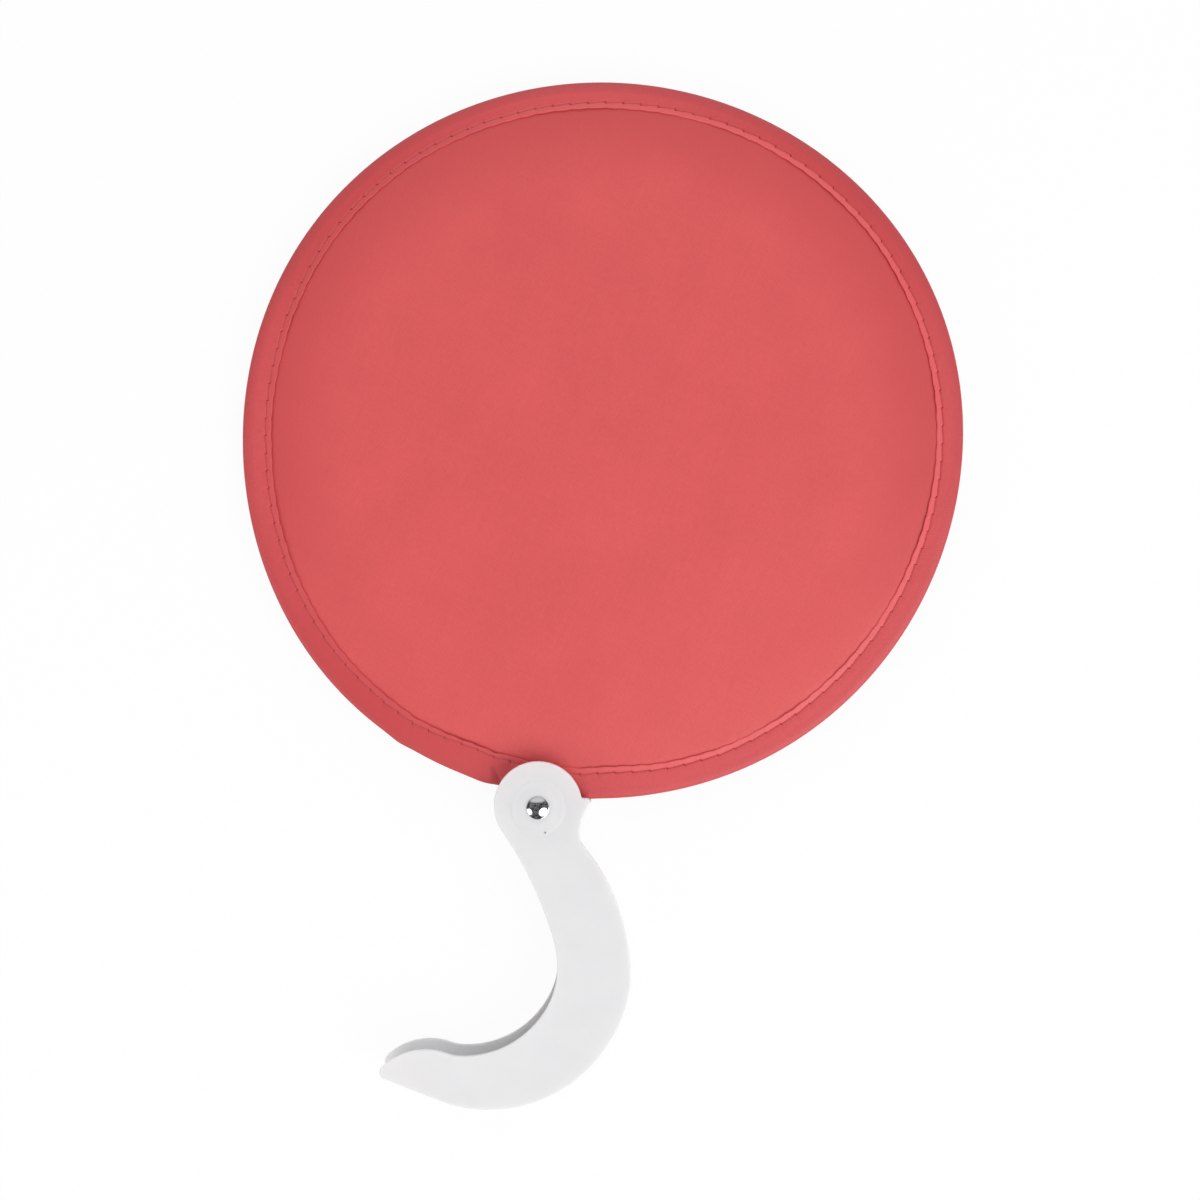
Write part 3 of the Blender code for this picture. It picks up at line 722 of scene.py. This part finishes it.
half = STRIP_HEIGHT / 2
soft = STRIP_THICKNESS / 4
section = [(STRIP_INNER + soft, -half), (STRIP_OUTER - soft, -half), (STRIP_OUTER, soft - half)]
section += [(STRIP_OUTER, half - soft), (STRIP_OUTER - soft, half), (STRIP_INNER + soft, half)]
section += [(STRIP_INNER, half - soft), (STRIP_INNER, soft - half)]
gap = STRIP_END_GAP / 2 / DISC_RADIUS
bm = ring(section, HUB_ANGLE + gap, HUB_ANGLE + math.tau - gap, RING_STEPS, RING_SECTORS)
follow_hoop(bm)
spring = bright_metal("blued_spring_steel", (0.42, 0.43, 0.45), 0.26, 0.20)
hoop = add_mesh("hoop_strip", bm, spring)
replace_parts(hoop, "spring_hoop")
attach(hoop, "disc")

bore_in, bore_out, bore_half = STRIP_INNER - TOUCH, STRIP_OUTER + TOUCH, STRIP_HEIGHT / 2 + TOUCH
inner, outer, half = bore_in - FERRULE_WALL, bore_out + FERRULE_WALL, bore_half + FERRULE_WALL
seam = FERRULE_SEAM / 2
section = [(inner, seam), (inner, half), (outer, half), (outer, -half), (inner, -half), (inner, -seam)]
section += [(bore_in, -seam), (bore_in, -bore_half), (bore_out, -bore_half)]
section += [(bore_out, bore_half), (bore_in, bore_half), (bore_in, seam)]
half_turn = FERRULE_LENGTH / 2 / DISC_RADIUS
bm = ring(section, HUB_ANGLE - half_turn, HUB_ANGLE + half_turn, SLEEVE_STEPS)
tin = bright_metal("tinned_sheet", (0.62, 0.62, 0.60), 0.30, 0.20)
sleeve = add_mesh("crimped_sleeve", bm, tin)
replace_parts(sleeve, "hoop_ferrule")
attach(sleeve, "disc")

# Hem
# A tape of the same red cloth, cut on the bias and folded over the hoop and the panel's edge. It stands
# round over the hoop, is drawn down by the seam, and its folded lip curls up inside the seam.
STITCHES = 120
STEPS_A_STITCH = 12
HEM_STEPS = STITCHES * STEPS_A_STITCH
STITCH = math.tau / STITCHES
HOLE_CROWDING = 1.8
HEM_WIDTH = 0.00955
WIDTH_WAVES = ((1, 0.00059, 242.7), (4, 0.00012, 87.1), (5, 0.00018, 27.2))
# Beside the hub the hem is wider, and to its left the seam is nearer to the lip: place, height and reach
WIDER_PLACES = ((-0.026, 0.0008, 0.018), (0.024, 0.0009, 0.018))
NEARER_PLACE = (-0.028, 0.0007, 0.016)
LIP_FLUTTER = 0.00010
SEAM_FROM_LIP = 0.0021
SEAM_STEP, SEAM_STEP_REACH = 0.00038, 0.00012
BEAD_HEIGHT, BEAD_IN_HUB = 0.00172, 0.00160
BEAD_POWER, BEAD_POWER_IN_HUB = 2.5, 3.6
BEAD_WIDTH, BEAD_WIDTH_IN_HUB = 0.0038, 0.0020
MIDDLE_SLOPE = 0.015
# In the hub the bead falls to the hem's flat legs, between these shares of the bead's width
LEG_IN_HUB = 0.00078
LEG_FROM, LEG_TO = 0.9, 1.7
SEAM_HEIGHT = 0.00140
SEAM_REACH = 0.00022
LIP_SLOPE = 0.30
LIP_ROUND = 0.00032
LIP_CORNER = LIP_ROUND * 0.7
# Ripples in the hem's width, slopes and top: how high, how many in a turn, and a seed
WIDTH_RIPPLE = (0.00010, 60, 3.1)
MIDDLE_RIPPLE = (0.03, 9, 7.7)
LIP_RIPPLE = (0.10, 40, 1.3)
TOP_RIPPLE = (0.00007, 34, 5.5)
TOP_RIPPLE_FROM, TOP_RIPPLE_TO = 0.001, 0.003
PIVOT_OUTSET = 0.0035
HUB_GRIP = (0.0112, 0.0146)
SWELL = TOUCH + FERRULE_WALL
SWELL_FLAT = FERRULE_LENGTH / 2 + TOUCH
SWELL_TAPER = 0.0030


def ripple(angle, high, waves, seed):
    """Smooth noise round the disc, up to about so high either way, with so many waves in a turn."""
    reach = waves / math.tau
    return high * (2 * noise.noise(Vector((reach * math.cos(angle), reach * math.sin(angle), seed))))


def hump(angle, place, high, reach):
    """A smooth rise round a place on the rim, given by its distance from the hub."""
    return high * math.exp(-(((from_hub(angle) - place) / reach) ** 2))


def hem_width(angle):
    """Distance from the rim to the lip's end."""
    wider = sum(hump(angle, *place) for place in WIDER_PLACES)
    return HEM_WIDTH + wavy(angle, WIDTH_WAVES) + wider + ripple(angle, *WIDTH_RIPPLE)


def lip_width(angle):
    """Distance from the seam to the lip's end."""
    return SEAM_FROM_LIP - hump(angle, *NEARER_PLACE)


def in_hub(angle, inward):
    """1 where the hub grips the hem, and 0 where the hem is free."""
    return 1 - ease(math.hypot(from_hub(angle), inward + PIVOT_OUTSET), *HUB_GRIP)


def over_sleeve(angle):
    """1 where the hem swells over the crimped sleeve, and 0 beyond its tapers."""
    return min(1.0, max(0.0, (SWELL_FLAT + SWELL_TAPER - abs(from_hub(angle))) / SWELL_TAPER))


def stitch_phase(angle):
    """How far an angle is from one needle hole to the next, from 0 to 1."""
    return (angle - HUB_ANGLE) / STITCH % 1


def seam_place(angle):
    """Distance of the seam's groove from the rim. It slants along each stitch and steps back at the hole."""
    slant = SEAM_STEP * (stitch_phase(angle) - 0.5) * ease(abs(hole_distance(angle)), 0.0, SEAM_STEP_REACH)
    return hem_width(angle) - lip_width(angle) + slant


def hole_distance(angle):
    """Distance along the seam from the nearest needle hole, below 0 before it."""
    return math.remainder(angle - HUB_ANGLE, STITCH) * (DISC_RADIUS - HEM_WIDTH)


def hem_height(angle, inward):
    """Height of the hem's top above the disc's mid-plane, at a distance inward from the rim."""
    gripped = in_hub(angle, inward)
    high = mix(BEAD_HEIGHT, BEAD_IN_HUB, gripped) + SWELL * over_sleeve(angle)
    wide = mix(BEAD_WIDTH, BEAD_WIDTH_IN_HUB, gripped)
    power = mix(BEAD_POWER, BEAD_POWER_IN_HUB, gripped)
    across = max(0.0, 1 - inward / wide)
    bead = high * (1 - across**power) ** (1 / power)
    past = inward - seam_place(angle)
    slope = MIDDLE_SLOPE + ripple(angle, *MIDDLE_RIPPLE)
    middle = bead - slope * max(0.0, inward - wide)
    if past > 0:
        lip_slope = LIP_SLOPE + ripple(angle, *LIP_RIPPLE)
        middle = SEAM_HEIGHT + lip_slope * (inward - hem_width(angle) + lip_width(angle))
    free = mix(middle, SEAM_HEIGHT, math.exp(-((past / SEAM_REACH) ** 2)))
    leg = mix(bead, LEG_IN_HUB, ease(inward, wide * LEG_FROM, wide * LEG_TO))
    return mix(free, leg, gripped) + (1 - gripped) * hem_creases(angle, inward, past)


# Needle holes a stitch apart, and the pucker beside the rivet where the hem bunches up
PUCKER_PLACE, PUCKER_INWARD = -0.0159, 0.003
PUCKER_LEAN = 1.07
PUCKER_DEPTH, PUCKER_REACH = 0.00080, 0.0010
PUCKER_BEGINS, PUCKER_ENDS = (0.0006, 0.0022), (0.0048, 0.0076)
BULGE_HEIGHT, BULGE_REACH, BULGE_SHIFT = 0.00035, 0.0016, -0.0025
HOLE_DEPTH, HOLE_REACH = 0.00045, 0.00024
TUG_DEPTH, TUG_ALONG, TUG_ACROSS = 0.00012, 0.0009, 0.0007


def hem_creases(angle, inward, past):
    """The small forms on the hem's top: needle holes, drawn cloth beside them and the pucker."""
    beside = hole_distance(angle)
    hole = HOLE_DEPTH * math.exp(-((beside / HOLE_REACH) ** 2 + (past / HOLE_REACH) ** 2))
    tug = TUG_DEPTH * math.exp(-((beside / TUG_ALONG) ** 2))
    tug *= math.exp(-(((past + TUG_ACROSS) / TUG_ACROSS) ** 2))
    fold = from_hub(angle) - PUCKER_PLACE + (inward - PUCKER_INWARD) / PUCKER_LEAN
    along = ease(inward, *PUCKER_BEGINS) * (1 - ease(inward, *PUCKER_ENDS))
    pucker = BULGE_HEIGHT * math.exp(-(((fold - BULGE_SHIFT) / BULGE_REACH) ** 2))
    pucker -= PUCKER_DEPTH * math.exp(-((fold / PUCKER_REACH) ** 2))
    soft = ripple(angle, *TOP_RIPPLE) * ease(inward, TOP_RIPPLE_FROM, TOP_RIPPLE_TO)
    return soft + pucker * along - hole - tug


# Points of the section: how many over the bead and the middle, how far past the seam's groove, and how far
# inward from the rim on the tape's inner face, which stays clear of half the panel's thickness
BEAD_POINTS = 8
MIDDLE_POINTS = 4
SEAM_POINTS = (-0.0016, -0.0009, -0.0005, -0.0003, -0.00015, 0.0, 0.00015, 0.0003, 0.0006, 0.0011)
INSIDE_POINTS = (0.0062, 0.0035, 0.0013)
INSIDE_DEPTH = BINDING_THICKNESS * 1.1
INSIDE_SEAM = 0.0002
PANEL_HALF, PANEL_CLEARANCE = 0.00014, 0.00005


def hem_line(angle):
    """Half of the hem's section at an angle, as (inward, height) from the rim in over the top to the lip."""
    seam_at = seam_place(angle)
    width = hem_width(angle) - LIP_FLUTTER * math.cos(math.tau * stitch_phase(angle))
    wide = mix(BEAD_WIDTH, BEAD_WIDTH_IN_HUB, in_hub(angle, 0.0))
    inward = [wide * (1 - math.cos(math.pi / 2 * k / BEAD_POINTS)) for k in range(1, BEAD_POINTS + 1)]
    first_seam = seam_at + SEAM_POINTS[0]
    inward += [mix(wide, first_seam, k / MIDDLE_POINTS) for k in range(1, MIDDLE_POINTS)]
    inward += [seam_at + past for past in SEAM_POINTS]
    line = [(0.0, 0.0)] + [(there, hem_height(angle, there)) for there in inward]
    high = hem_height(angle, width - LIP_ROUND)
    before, under = width - LIP_ROUND, high - LIP_ROUND
    line += [(before, high), (before + LIP_CORNER, under + LIP_CORNER), (width, under)]
    line += [(before + LIP_CORNER, under - LIP_CORNER), (before, high - 2 * LIP_ROUND)]
    low = hem_height(angle, seam_at) - BINDING_THICKNESS
    line += [(seam_at + INSIDE_SEAM, max(low, PANEL_HALF + PANEL_CLEARANCE))]
    line += [(there, hem_height(angle, there) - INSIDE_DEPTH) for there in INSIDE_POINTS]
    return line + [(BINDING_THICKNESS, STRIP_HEIGHT / 2)]


def crowded(angle):
    """The hem's equal step that is nearest to an angle, and its angle moved toward the nearest hole."""
    step = round((angle - HUB_ANGLE) / math.tau * HEM_STEPS) % HEM_STEPS
    share = math.remainder(step / STEPS_A_STITCH, 1)
    moved = math.copysign(abs(2 * share) ** HOLE_CROWDING / 2, share)
    return step, HUB_ANGLE + STITCH * (step / STEPS_A_STITCH - share + moved)


def lay_uv(bm, name, lengths):
    """UV coordinates of a whole ring in metres: by angle along it, and by given lengths round its section."""
    number = bm.verts.layers.int["place_in_section"]
    layer = bm.loops.layers.uv.new(name)
    for face in bm.faces:
        turns = [(polar(loop.vert)[0] - HUB_ANGLE) % math.tau for loop in face.loops]
        counts = [loop.vert[number] for loop in face.loops]
        for loop, turn, count in zip(face.loops, turns, counts):
            turn += math.tau if max(turns) - turn > math.pi else 0.0
            closing = count == 0 and max(counts) == len(lengths) - 2
            loop[layer].uv = (turn * DISC_RADIUS, lengths[-1 if closing else count])


line = hem_line(HUB_ANGLE)
section = [(DISC_RADIUS - inward, height) for inward, height in line]
section += [(radius, -height) for radius, height in reversed(section[1:])]
bm = ring(section, HUB_ANGLE, HUB_ANGLE + math.tau, HEM_STEPS, RING_SECTORS)
number = bm.verts.layers.int["place_in_section"]
lines = {}
for vert in bm.verts:
    step, angle = crowded(polar(vert)[0])
    if step not in lines:
        lines[step] = hem_line(angle)
    count = vert[number]
    side = 1 if count < len(line) else -1
    inward, height = lines[step][count if side > 0 else 2 * len(line) - 1 - count]
    put(vert, angle, DISC_RADIUS + out_of_round(angle) - inward, side * height)
across = [0.0]
for here, there in zip(section, section[1:] + section[:1]):
    across.append(across[-1] + math.dist(here, there))
lay_uv(bm, "tape", across)

WEAVE_PITCH = 0.00040
WEAVE_OVER = 0.9
RIB_PITCH = 0.00085
SLUB_SCALE = 28.0
# How strongly the weave's painted shade between threads, the soft clouding and the fine mottle change the
# cloth's tone
WEAVE_SHADE_TONE, CLOUD_TONE, MOTTLE_TONE = 0.25, 0.9, 0.9
CLOUD_GRAIN, MOTTLE_GRAIN = (38.0, 4.0, 0.6), (1100.0, 2.0, 0.6)
ROUGHEST, WEAVE_SHINE = 0.54, 0.08
WEAVE_RISE, SLUB_RISE = 0.7, 0.6
CLOTH_RISE, CLOTH_BUMP = 0.00006, 0.55
HEM_TURN = math.radians(-20)
HEM_DARK, HEM_PALE = (0.63, 0.071, 0.080), (0.74, 0.092, 0.098)
HEM_SLUB, HEM_RIB = 0.5, 0.25
# The folded lip is painted paler at the right, where it faces the key lamp, and less so at the left: a
# painted highlight. Sides: from, to, and least share
LIP_HIGHLIGHT_PALE = (0.81, 0.112, 0.119)
FOLD_EDGE = 0.75
LIP_HIGHLIGHT_SIDES = (-0.060, 0.050, 0.25)
# Where the strip is behind the tape the cloth is darker, and painted shade makes it most so at the top, which
# faces away from the lamps
BACKED_AND_SHADED_RED = (0.51, 0.054, 0.064)
STRIP_BAND = (0.0048, 0.0008)
BACKED_SHADE_SIDES = (-0.090, 0.090, 0.35)
# The tape's red is painted deeper on the disc's diagonals, apart from the lower right where the key lamp is:
# painted shade
DIAGONAL_SHADE_RED = (0.61, 0.055, 0.061)
DIAGONAL_SHADE_SHARE = 0.8
DIAGONAL_SHADE_SIDES = (-0.170, -0.060)
# The panel is painted darker toward the hem, except at the bottom, as painted shade: the band's radii, its
# sides and its colour
EDGE_SHADE_BAND = (0.084, 0.114)
EDGE_SHADE_SIDES = (-0.085, 0.000)
EDGE_SHADE_SHARE = 0.8
EDGE_SHADE_RED = (0.63, 0.068, 0.072)


def woven(wire, coordinates):
    """Height of a plain weave from 0 to 1, for threads along both coordinates."""
    one = (coordinates.part("X") * (math.pi / WEAVE_PITCH)).sine()
    two = (coordinates.part("Y") * (math.pi / WEAVE_PITCH)).sine()
    over = wire.maths("MULTIPLY_ADD", one * two, WEAVE_OVER, 0.5)
    return abs(one) * over + abs(two) * (1 - over)


def red_cloth(name, coordinates, turn, dark, pale, slub, rib, fold=None):
    """Fine plain-woven polyester: a weave with faint ribs whose low places carry painted shade, threads of
    uneven tone, and a soft clouding.

    Only a tape has a fold, the lip with its painted highlight: its middle, its half width and the tape's
    whole width.
    """
    material, wire = new_finish(name, Sheen_Weight=0.05, Sheen_Roughness=0.45)
    place = wire.coordinates(coordinates)
    turned_place = place.stretched((1.0, 1.0, 1.0), turn)
    weave = woven(wire, turned_place)
    ribs = (turned_place.part("X") * (math.tau / RIB_PITCH)).sine()
    streaks = turned_place.stretched((1 / WEAVE_PITCH, SLUB_SCALE, SLUB_SCALE)).grain(1.0, 2.0)
    bars = turned_place.stretched((SLUB_SCALE, 1 / WEAVE_PITCH, SLUB_SCALE)).grain(1.0, 2.0)
    on_disc = wire.coordinates("Object")
    cloud, mottle = on_disc.grain(*CLOUD_GRAIN), on_disc.grain(*MOTTLE_GRAIN)
    # The weave and the ribs darken the cloth in their low places: painted shade between the threads
    tone = 0.5 + slub * (streaks + bars - 1) + CLOUD_TONE * (cloud - 0.5) + WEAVE_SHADE_TONE * (weave - 0.5)
    colour = (tone + rib * ribs + MOTTLE_TONE * (mottle - 0.5)).between(dark, pale)
    right, up = on_disc.part("X") - DISC_CENTRE.x, on_disc.part("Y") - DISC_CENTRE.y
    if fold:
        middle, reach, whole = fold
        across = place.part("Y")
        nearer = wire.maths("MINIMUM", across, whole - across)
        # Painted shade: the tape is darker on the disc's diagonals, apart from the lower right where the key
        # lamp is
        four_turns = (place.part("X") * (1 / DISC_RADIUS) + HUB_ANGLE) * 4
        diagonal_shade = (0.5 - 0.5 * wire.maths("COSINE", four_turns)) * (up - right).share(*DIAGONAL_SHADE_SIDES)
        colour = (diagonal_shade * DIAGONAL_SHADE_SHARE).between(colour, DIAGONAL_SHADE_RED)
        # Painted highlight: the lip is paler at the right, where it faces the key lamp
        lip_highlight = abs(nearer - middle).share(reach, reach * FOLD_EDGE) * right.share(*LIP_HIGHLIGHT_SIDES)
        colour = lip_highlight.between(colour, LIP_HIGHLIGHT_PALE)
        # Darker over the strip, and painted shade makes it darker still toward the top, away from the lamps
        backed_and_shaded = nearer.share(*STRIP_BAND) * up.share(*BACKED_SHADE_SIDES)
        colour = backed_and_shaded.between(colour, BACKED_AND_SHADED_RED)
    else:
        # Painted shade: the panel is darker toward the hem, except at the bottom
        outward = wire.maths("SQRT", right * right + up * up)
        edge_shade = outward.share(*EDGE_SHADE_BAND) * up.share(*EDGE_SHADE_SIDES) * EDGE_SHADE_SHARE
        colour = edge_shade.between(colour, EDGE_SHADE_RED)
    feed(material, "Base Color", colour)
    feed(material, "Roughness", ROUGHEST - WEAVE_SHINE * weave)
    relief = WEAVE_RISE * weave + SLUB_RISE * (streaks + bars) + rib * ribs
    feed(material, "Normal", rise(wire, relief, CLOTH_RISE, CLOTH_BUMP))
    return material


lip_point = BEAD_POINTS + MIDDLE_POINTS + len(SEAM_POINTS)
seam_at, lip_end = across[lip_point + SEAM_POINTS.index(0.0) - len(SEAM_POINTS)], across[lip_point + 2]
fold = ((seam_at + lip_end) / 2, (lip_end - seam_at) / 2, across[-1])
tape = red_cloth("red_bias_tape", "UV", HEM_TURN, HEM_DARK, HEM_PALE, HEM_SLUB, HEM_RIB, fold)
hem = add_mesh("hem_tape", bm, tape)
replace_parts(hem, "rim_binding")
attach(hem, "disc")

# Panel
# One round of the same thin cloth, cut with the weave a little off the grip's line. The hoop holds it
# taut, and the seam draws its edge down, so that it stands slightly proud inside the hem.
PANEL_RADIUS = 0.1180
PANEL_RINGS = 72
PANEL_SPOKES = 240
SEAM_TUCK = 0.0004
PANEL_RISE, PANEL_RISE_REACH, PANEL_RISE_POWER = 0.0011, 0.0105, 1.25
PANEL_STEP, PANEL_STEP_REACH = 0.0013, 0.0009
# Each stitch draws the cloth, and waves in it are calmer toward the seam: height, noise scale and seed
DRAWN_HEIGHT, DRAWN_REACH = 0.00004, 0.004
PANEL_WAVES = ((0.00050, 16, (2.3, 0.4, 0.9)), (0.00012, 45, (7.1, 3.3, 0.2)))
CALM_REACH = 0.030
PANEL_TURN = math.radians(24.6)
PANEL_DARK, PANEL_PALE = (0.68, 0.082, 0.086), (0.80, 0.106, 0.106)
PANEL_SLUB, PANEL_RIB = 0.35, 0.2


def panel_height(angle, radius):
    """Height of the cloth's middle above the disc's mid-plane."""
    free = DISC_RADIUS - hem_width(angle) + lip_width(angle) - SEAM_TUCK - radius
    if free <= 0:
        return 0.0
    crown = PANEL_RISE * (1 - math.exp(-((free / PANEL_RISE_REACH) ** PANEL_RISE_POWER)))
    crown += PANEL_STEP * (1 - math.exp(-free / PANEL_STEP_REACH))
    place = Vector((radius * math.cos(angle), radius * math.sin(angle), 0.0))
    waves = sum(high * 2 * noise.noise(place * scale + Vector(seed)) for high, scale, seed in PANEL_WAVES)
    drawn = DRAWN_HEIGHT * math.cos(STITCHES * (angle - HUB_ANGLE)) * math.exp(-free / DRAWN_REACH)
    return crown + ease(free, 0.0, CALM_REACH) * waves + drawn


radii = [PANEL_RADIUS * math.sin(math.pi / 2 * k / PANEL_RINGS) for k in range(PANEL_RINGS + 1)]
section = [(radius, PANEL_HALF) for radius in radii]
section += [(radius, -PANEL_HALF) for radius in reversed(radii)]
bm = bmesh.new()
loop = [bm.verts.new() for _ in section]
for vert, (radius, height) in zip(loop, section):
    put(vert, 0.0, radius, height)
edges = [bm.edges.new(pair) for pair in zip(loop, loop[1:])]
spin_round(bm, loop + edges, math.tau, PANEL_SPOKES, RING_SECTORS)
for vert in bm.verts:
    angle, radius = polar(vert)
    height = vert.co.z - DISC_CENTRE.z + panel_height(angle, radius)
    put(vert, angle, radius + out_of_round(angle) * (radius / DISC_RADIUS) ** 2, height)
cloth = red_cloth("red_lining_cloth", "Object", PANEL_TURN, PANEL_DARK, PANEL_PALE, PANEL_SLUB, PANEL_RIB)
panel = add_mesh("panel_cloth", bm, cloth)
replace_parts(panel, "disc_panel")
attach(panel, "disc")

# Seam threads
# Red polyester thread, locked through the hem at every stitch. The needle's thread lies on the front and
# the bobbin's on the back, and each dips into the holes.
THREAD_RADIUS = 0.00016
THREAD_SIDES = 8
THREAD_SINK = 0.00018
TWIST_PITCH, PLIES = 0.0006, 3
THREAD_GROOVE_SHADE, THREAD_PALE = (0.40, 0.050, 0.060), (0.62, 0.095, 0.105)


def seam_thread(name, side):
    """One strand round the seam that lies on the hem between holes and goes down at each."""
    around = [math.tau * k / THREAD_SIDES for k in range(THREAD_SIDES)]
    seam_radius = DISC_RADIUS - HEM_WIDTH + SEAM_FROM_LIP
    circle = [(seam_radius + THREAD_RADIUS * math.cos(a), THREAD_RADIUS * math.sin(a)) for a in around]
    bm = ring(circle, HUB_ANGLE, HUB_ANGLE + math.tau, HEM_STEPS, RING_SECTORS)
    number = bm.verts.layers.int["place_in_section"]
    for vert in bm.verts:
        _, angle = crowded(polar(vert)[0])
        seam_at = seam_place(angle)
        about = around[vert[number]]
        middle = side * (hem_height(angle, seam_at) + THREAD_RADIUS - THREAD_SINK)
        radius = DISC_RADIUS + out_of_round(angle) - seam_at + THREAD_RADIUS * math.cos(about)
        put(vert, angle, radius, middle + THREAD_RADIUS * math.sin(about))
    lay_uv(bm, "strand", [k / THREAD_SIDES * math.tau * THREAD_RADIUS for k in range(THREAD_SIDES + 1)])
    strand = add_mesh(name, bm, yarn)
    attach(strand, "disc")
    return strand


yarn, wire = new_finish("red_sewing_thread", Roughness=0.5, Sheen_Weight=0.1)
place = wire.coordinates("UV")
twist = (place.part("X") * (math.tau / TWIST_PITCH) + place.part("Y") * (PLIES / THREAD_RADIUS)).sine()
# The colour follows the twist, so the grooves between plies carry painted shade
feed(yarn, "Base Color", (0.5 + 0.5 * twist).between(THREAD_GROOVE_SHADE, THREAD_PALE))
feed(yarn, "Normal", rise(wire, 0.5 + 0.5 * twist, 0.00004, 0.8))
needle = seam_thread("needle_strand", FRONT)
bobbin = seam_thread("bobbin_strand", REAR)
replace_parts(needle, "needle_thread")
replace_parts(bobbin, "bobbin_thread")

# Hub
# Two halves moulded in white nylon, pegged together round the hem and turning on the rivet's tube. A
# groove holds the hem's bead as a track holds a bolt rope.
HUB_RADIUS = 0.0110
HUB_EDGE = 0.0004
HUB_PEG_RADIUS = 0.0008
HUB_PEG_LENGTH = 0.0020
HUB_PEG_SPREAD = 0.0055
HUB_PEG_DROP = 0.0050
NYLON_DARK, NYLON_PALE = (0.76, 0.75, 0.72), (0.81, 0.80, 0.78)
GROOVE_STEPS = 48
# How far in the sleeve's swelling goes, and the groove's section: distance inward from its rim, half height
SWELL_DEPTH = 0.003
GROOVE_LINE = ((0.0, 0.00150), (0.0007, 0.00195), (0.0025, 0.00195), (0.0042, 0.00110), (0.0130, 0.00110))


def hub_groove():
    """The hem's outer shape where the hub grips it, grown by a clearance, about the rivet's axis."""
    reach = math.asin(2 * HUB_RADIUS / DISC_RADIUS)
    section = [(DISC_RADIUS + TOUCH - inward, height) for inward, height in GROOVE_LINE]
    section += [(radius, -height) for radius, height in reversed(section)]
    bm = ring(section, HUB_ANGLE - reach, HUB_ANGLE + reach, GROOVE_STEPS)
    for vert in bm.verts:
        angle, radius = polar(vert)
        height = vert.co.z - DISC_CENTRE.z
        grown = SWELL * over_sleeve(angle) * (radius > DISC_RADIUS - SWELL_DEPTH)
        outward = grown * (1 if radius > STRIP_INNER else -1)
        put(vert, angle, radius + outward, height + math.copysign(grown, height))
    bmesh.ops.translate(bm, verts=bm.verts, vec=-PIVOT)
    return add_mesh("groove", bm)


def white_nylon():
    """Natural nylon, a little yellower and waxier than the grip."""
    material, wire = new_finish("natural_nylon", IOR=1.53)
    place = wire.coordinates("Object")
    feed(material, "Base Color", place.grain(120.0, 3.0).between(NYLON_DARK, NYLON_PALE))
    feed(material, "Roughness", 0.40 + 0.10 * place.grain(700.0))
    feed(material, "Normal", rise(wire, place.grain(5000.0, 1.0), 0.00001, 0.6))
    return material


nylon = white_nylon()


def hub_half(name, side):
    """One half of the hub, with its pegs or the sockets for them."""
    half = post(HUB_RADIUS, side * TOUCH / 2, side * HUB_THICKNESS / 2, edge=HUB_EDGE, name=name)
    helpers = [("DIFFERENCE", hub_groove())]
    helpers += [("DIFFERENCE", post(RIVET_BORE, -HUB_THICKNESS, HUB_THICKNESS))]
    turn = Matrix.Rotation(HUB_ANGLE + math.pi / 2, 2)
    for across in (-HUB_PEG_SPREAD, HUB_PEG_SPREAD):
        place = turn @ Vector((across, -HUB_PEG_DROP))
        if side == FRONT:
            peg = post(HUB_PEG_RADIUS, side * HUB_THICKNESS / 4, -HUB_PEG_LENGTH, place)
            helpers += [("UNION", peg)]
        else:
            socket = post(HUB_PEG_RADIUS + TOUCH, TOUCH, -HUB_PEG_LENGTH - TOUCH, place)
            helpers += [("DIFFERENCE", socket)]
    combined(half, helpers, nylon)
    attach(half, "disc")
    return half


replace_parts(hub_half("hub_front", FRONT), "pivot_hub_front_half")
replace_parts(hub_half("hub_rear", REAR), "pivot_hub_rear_half")
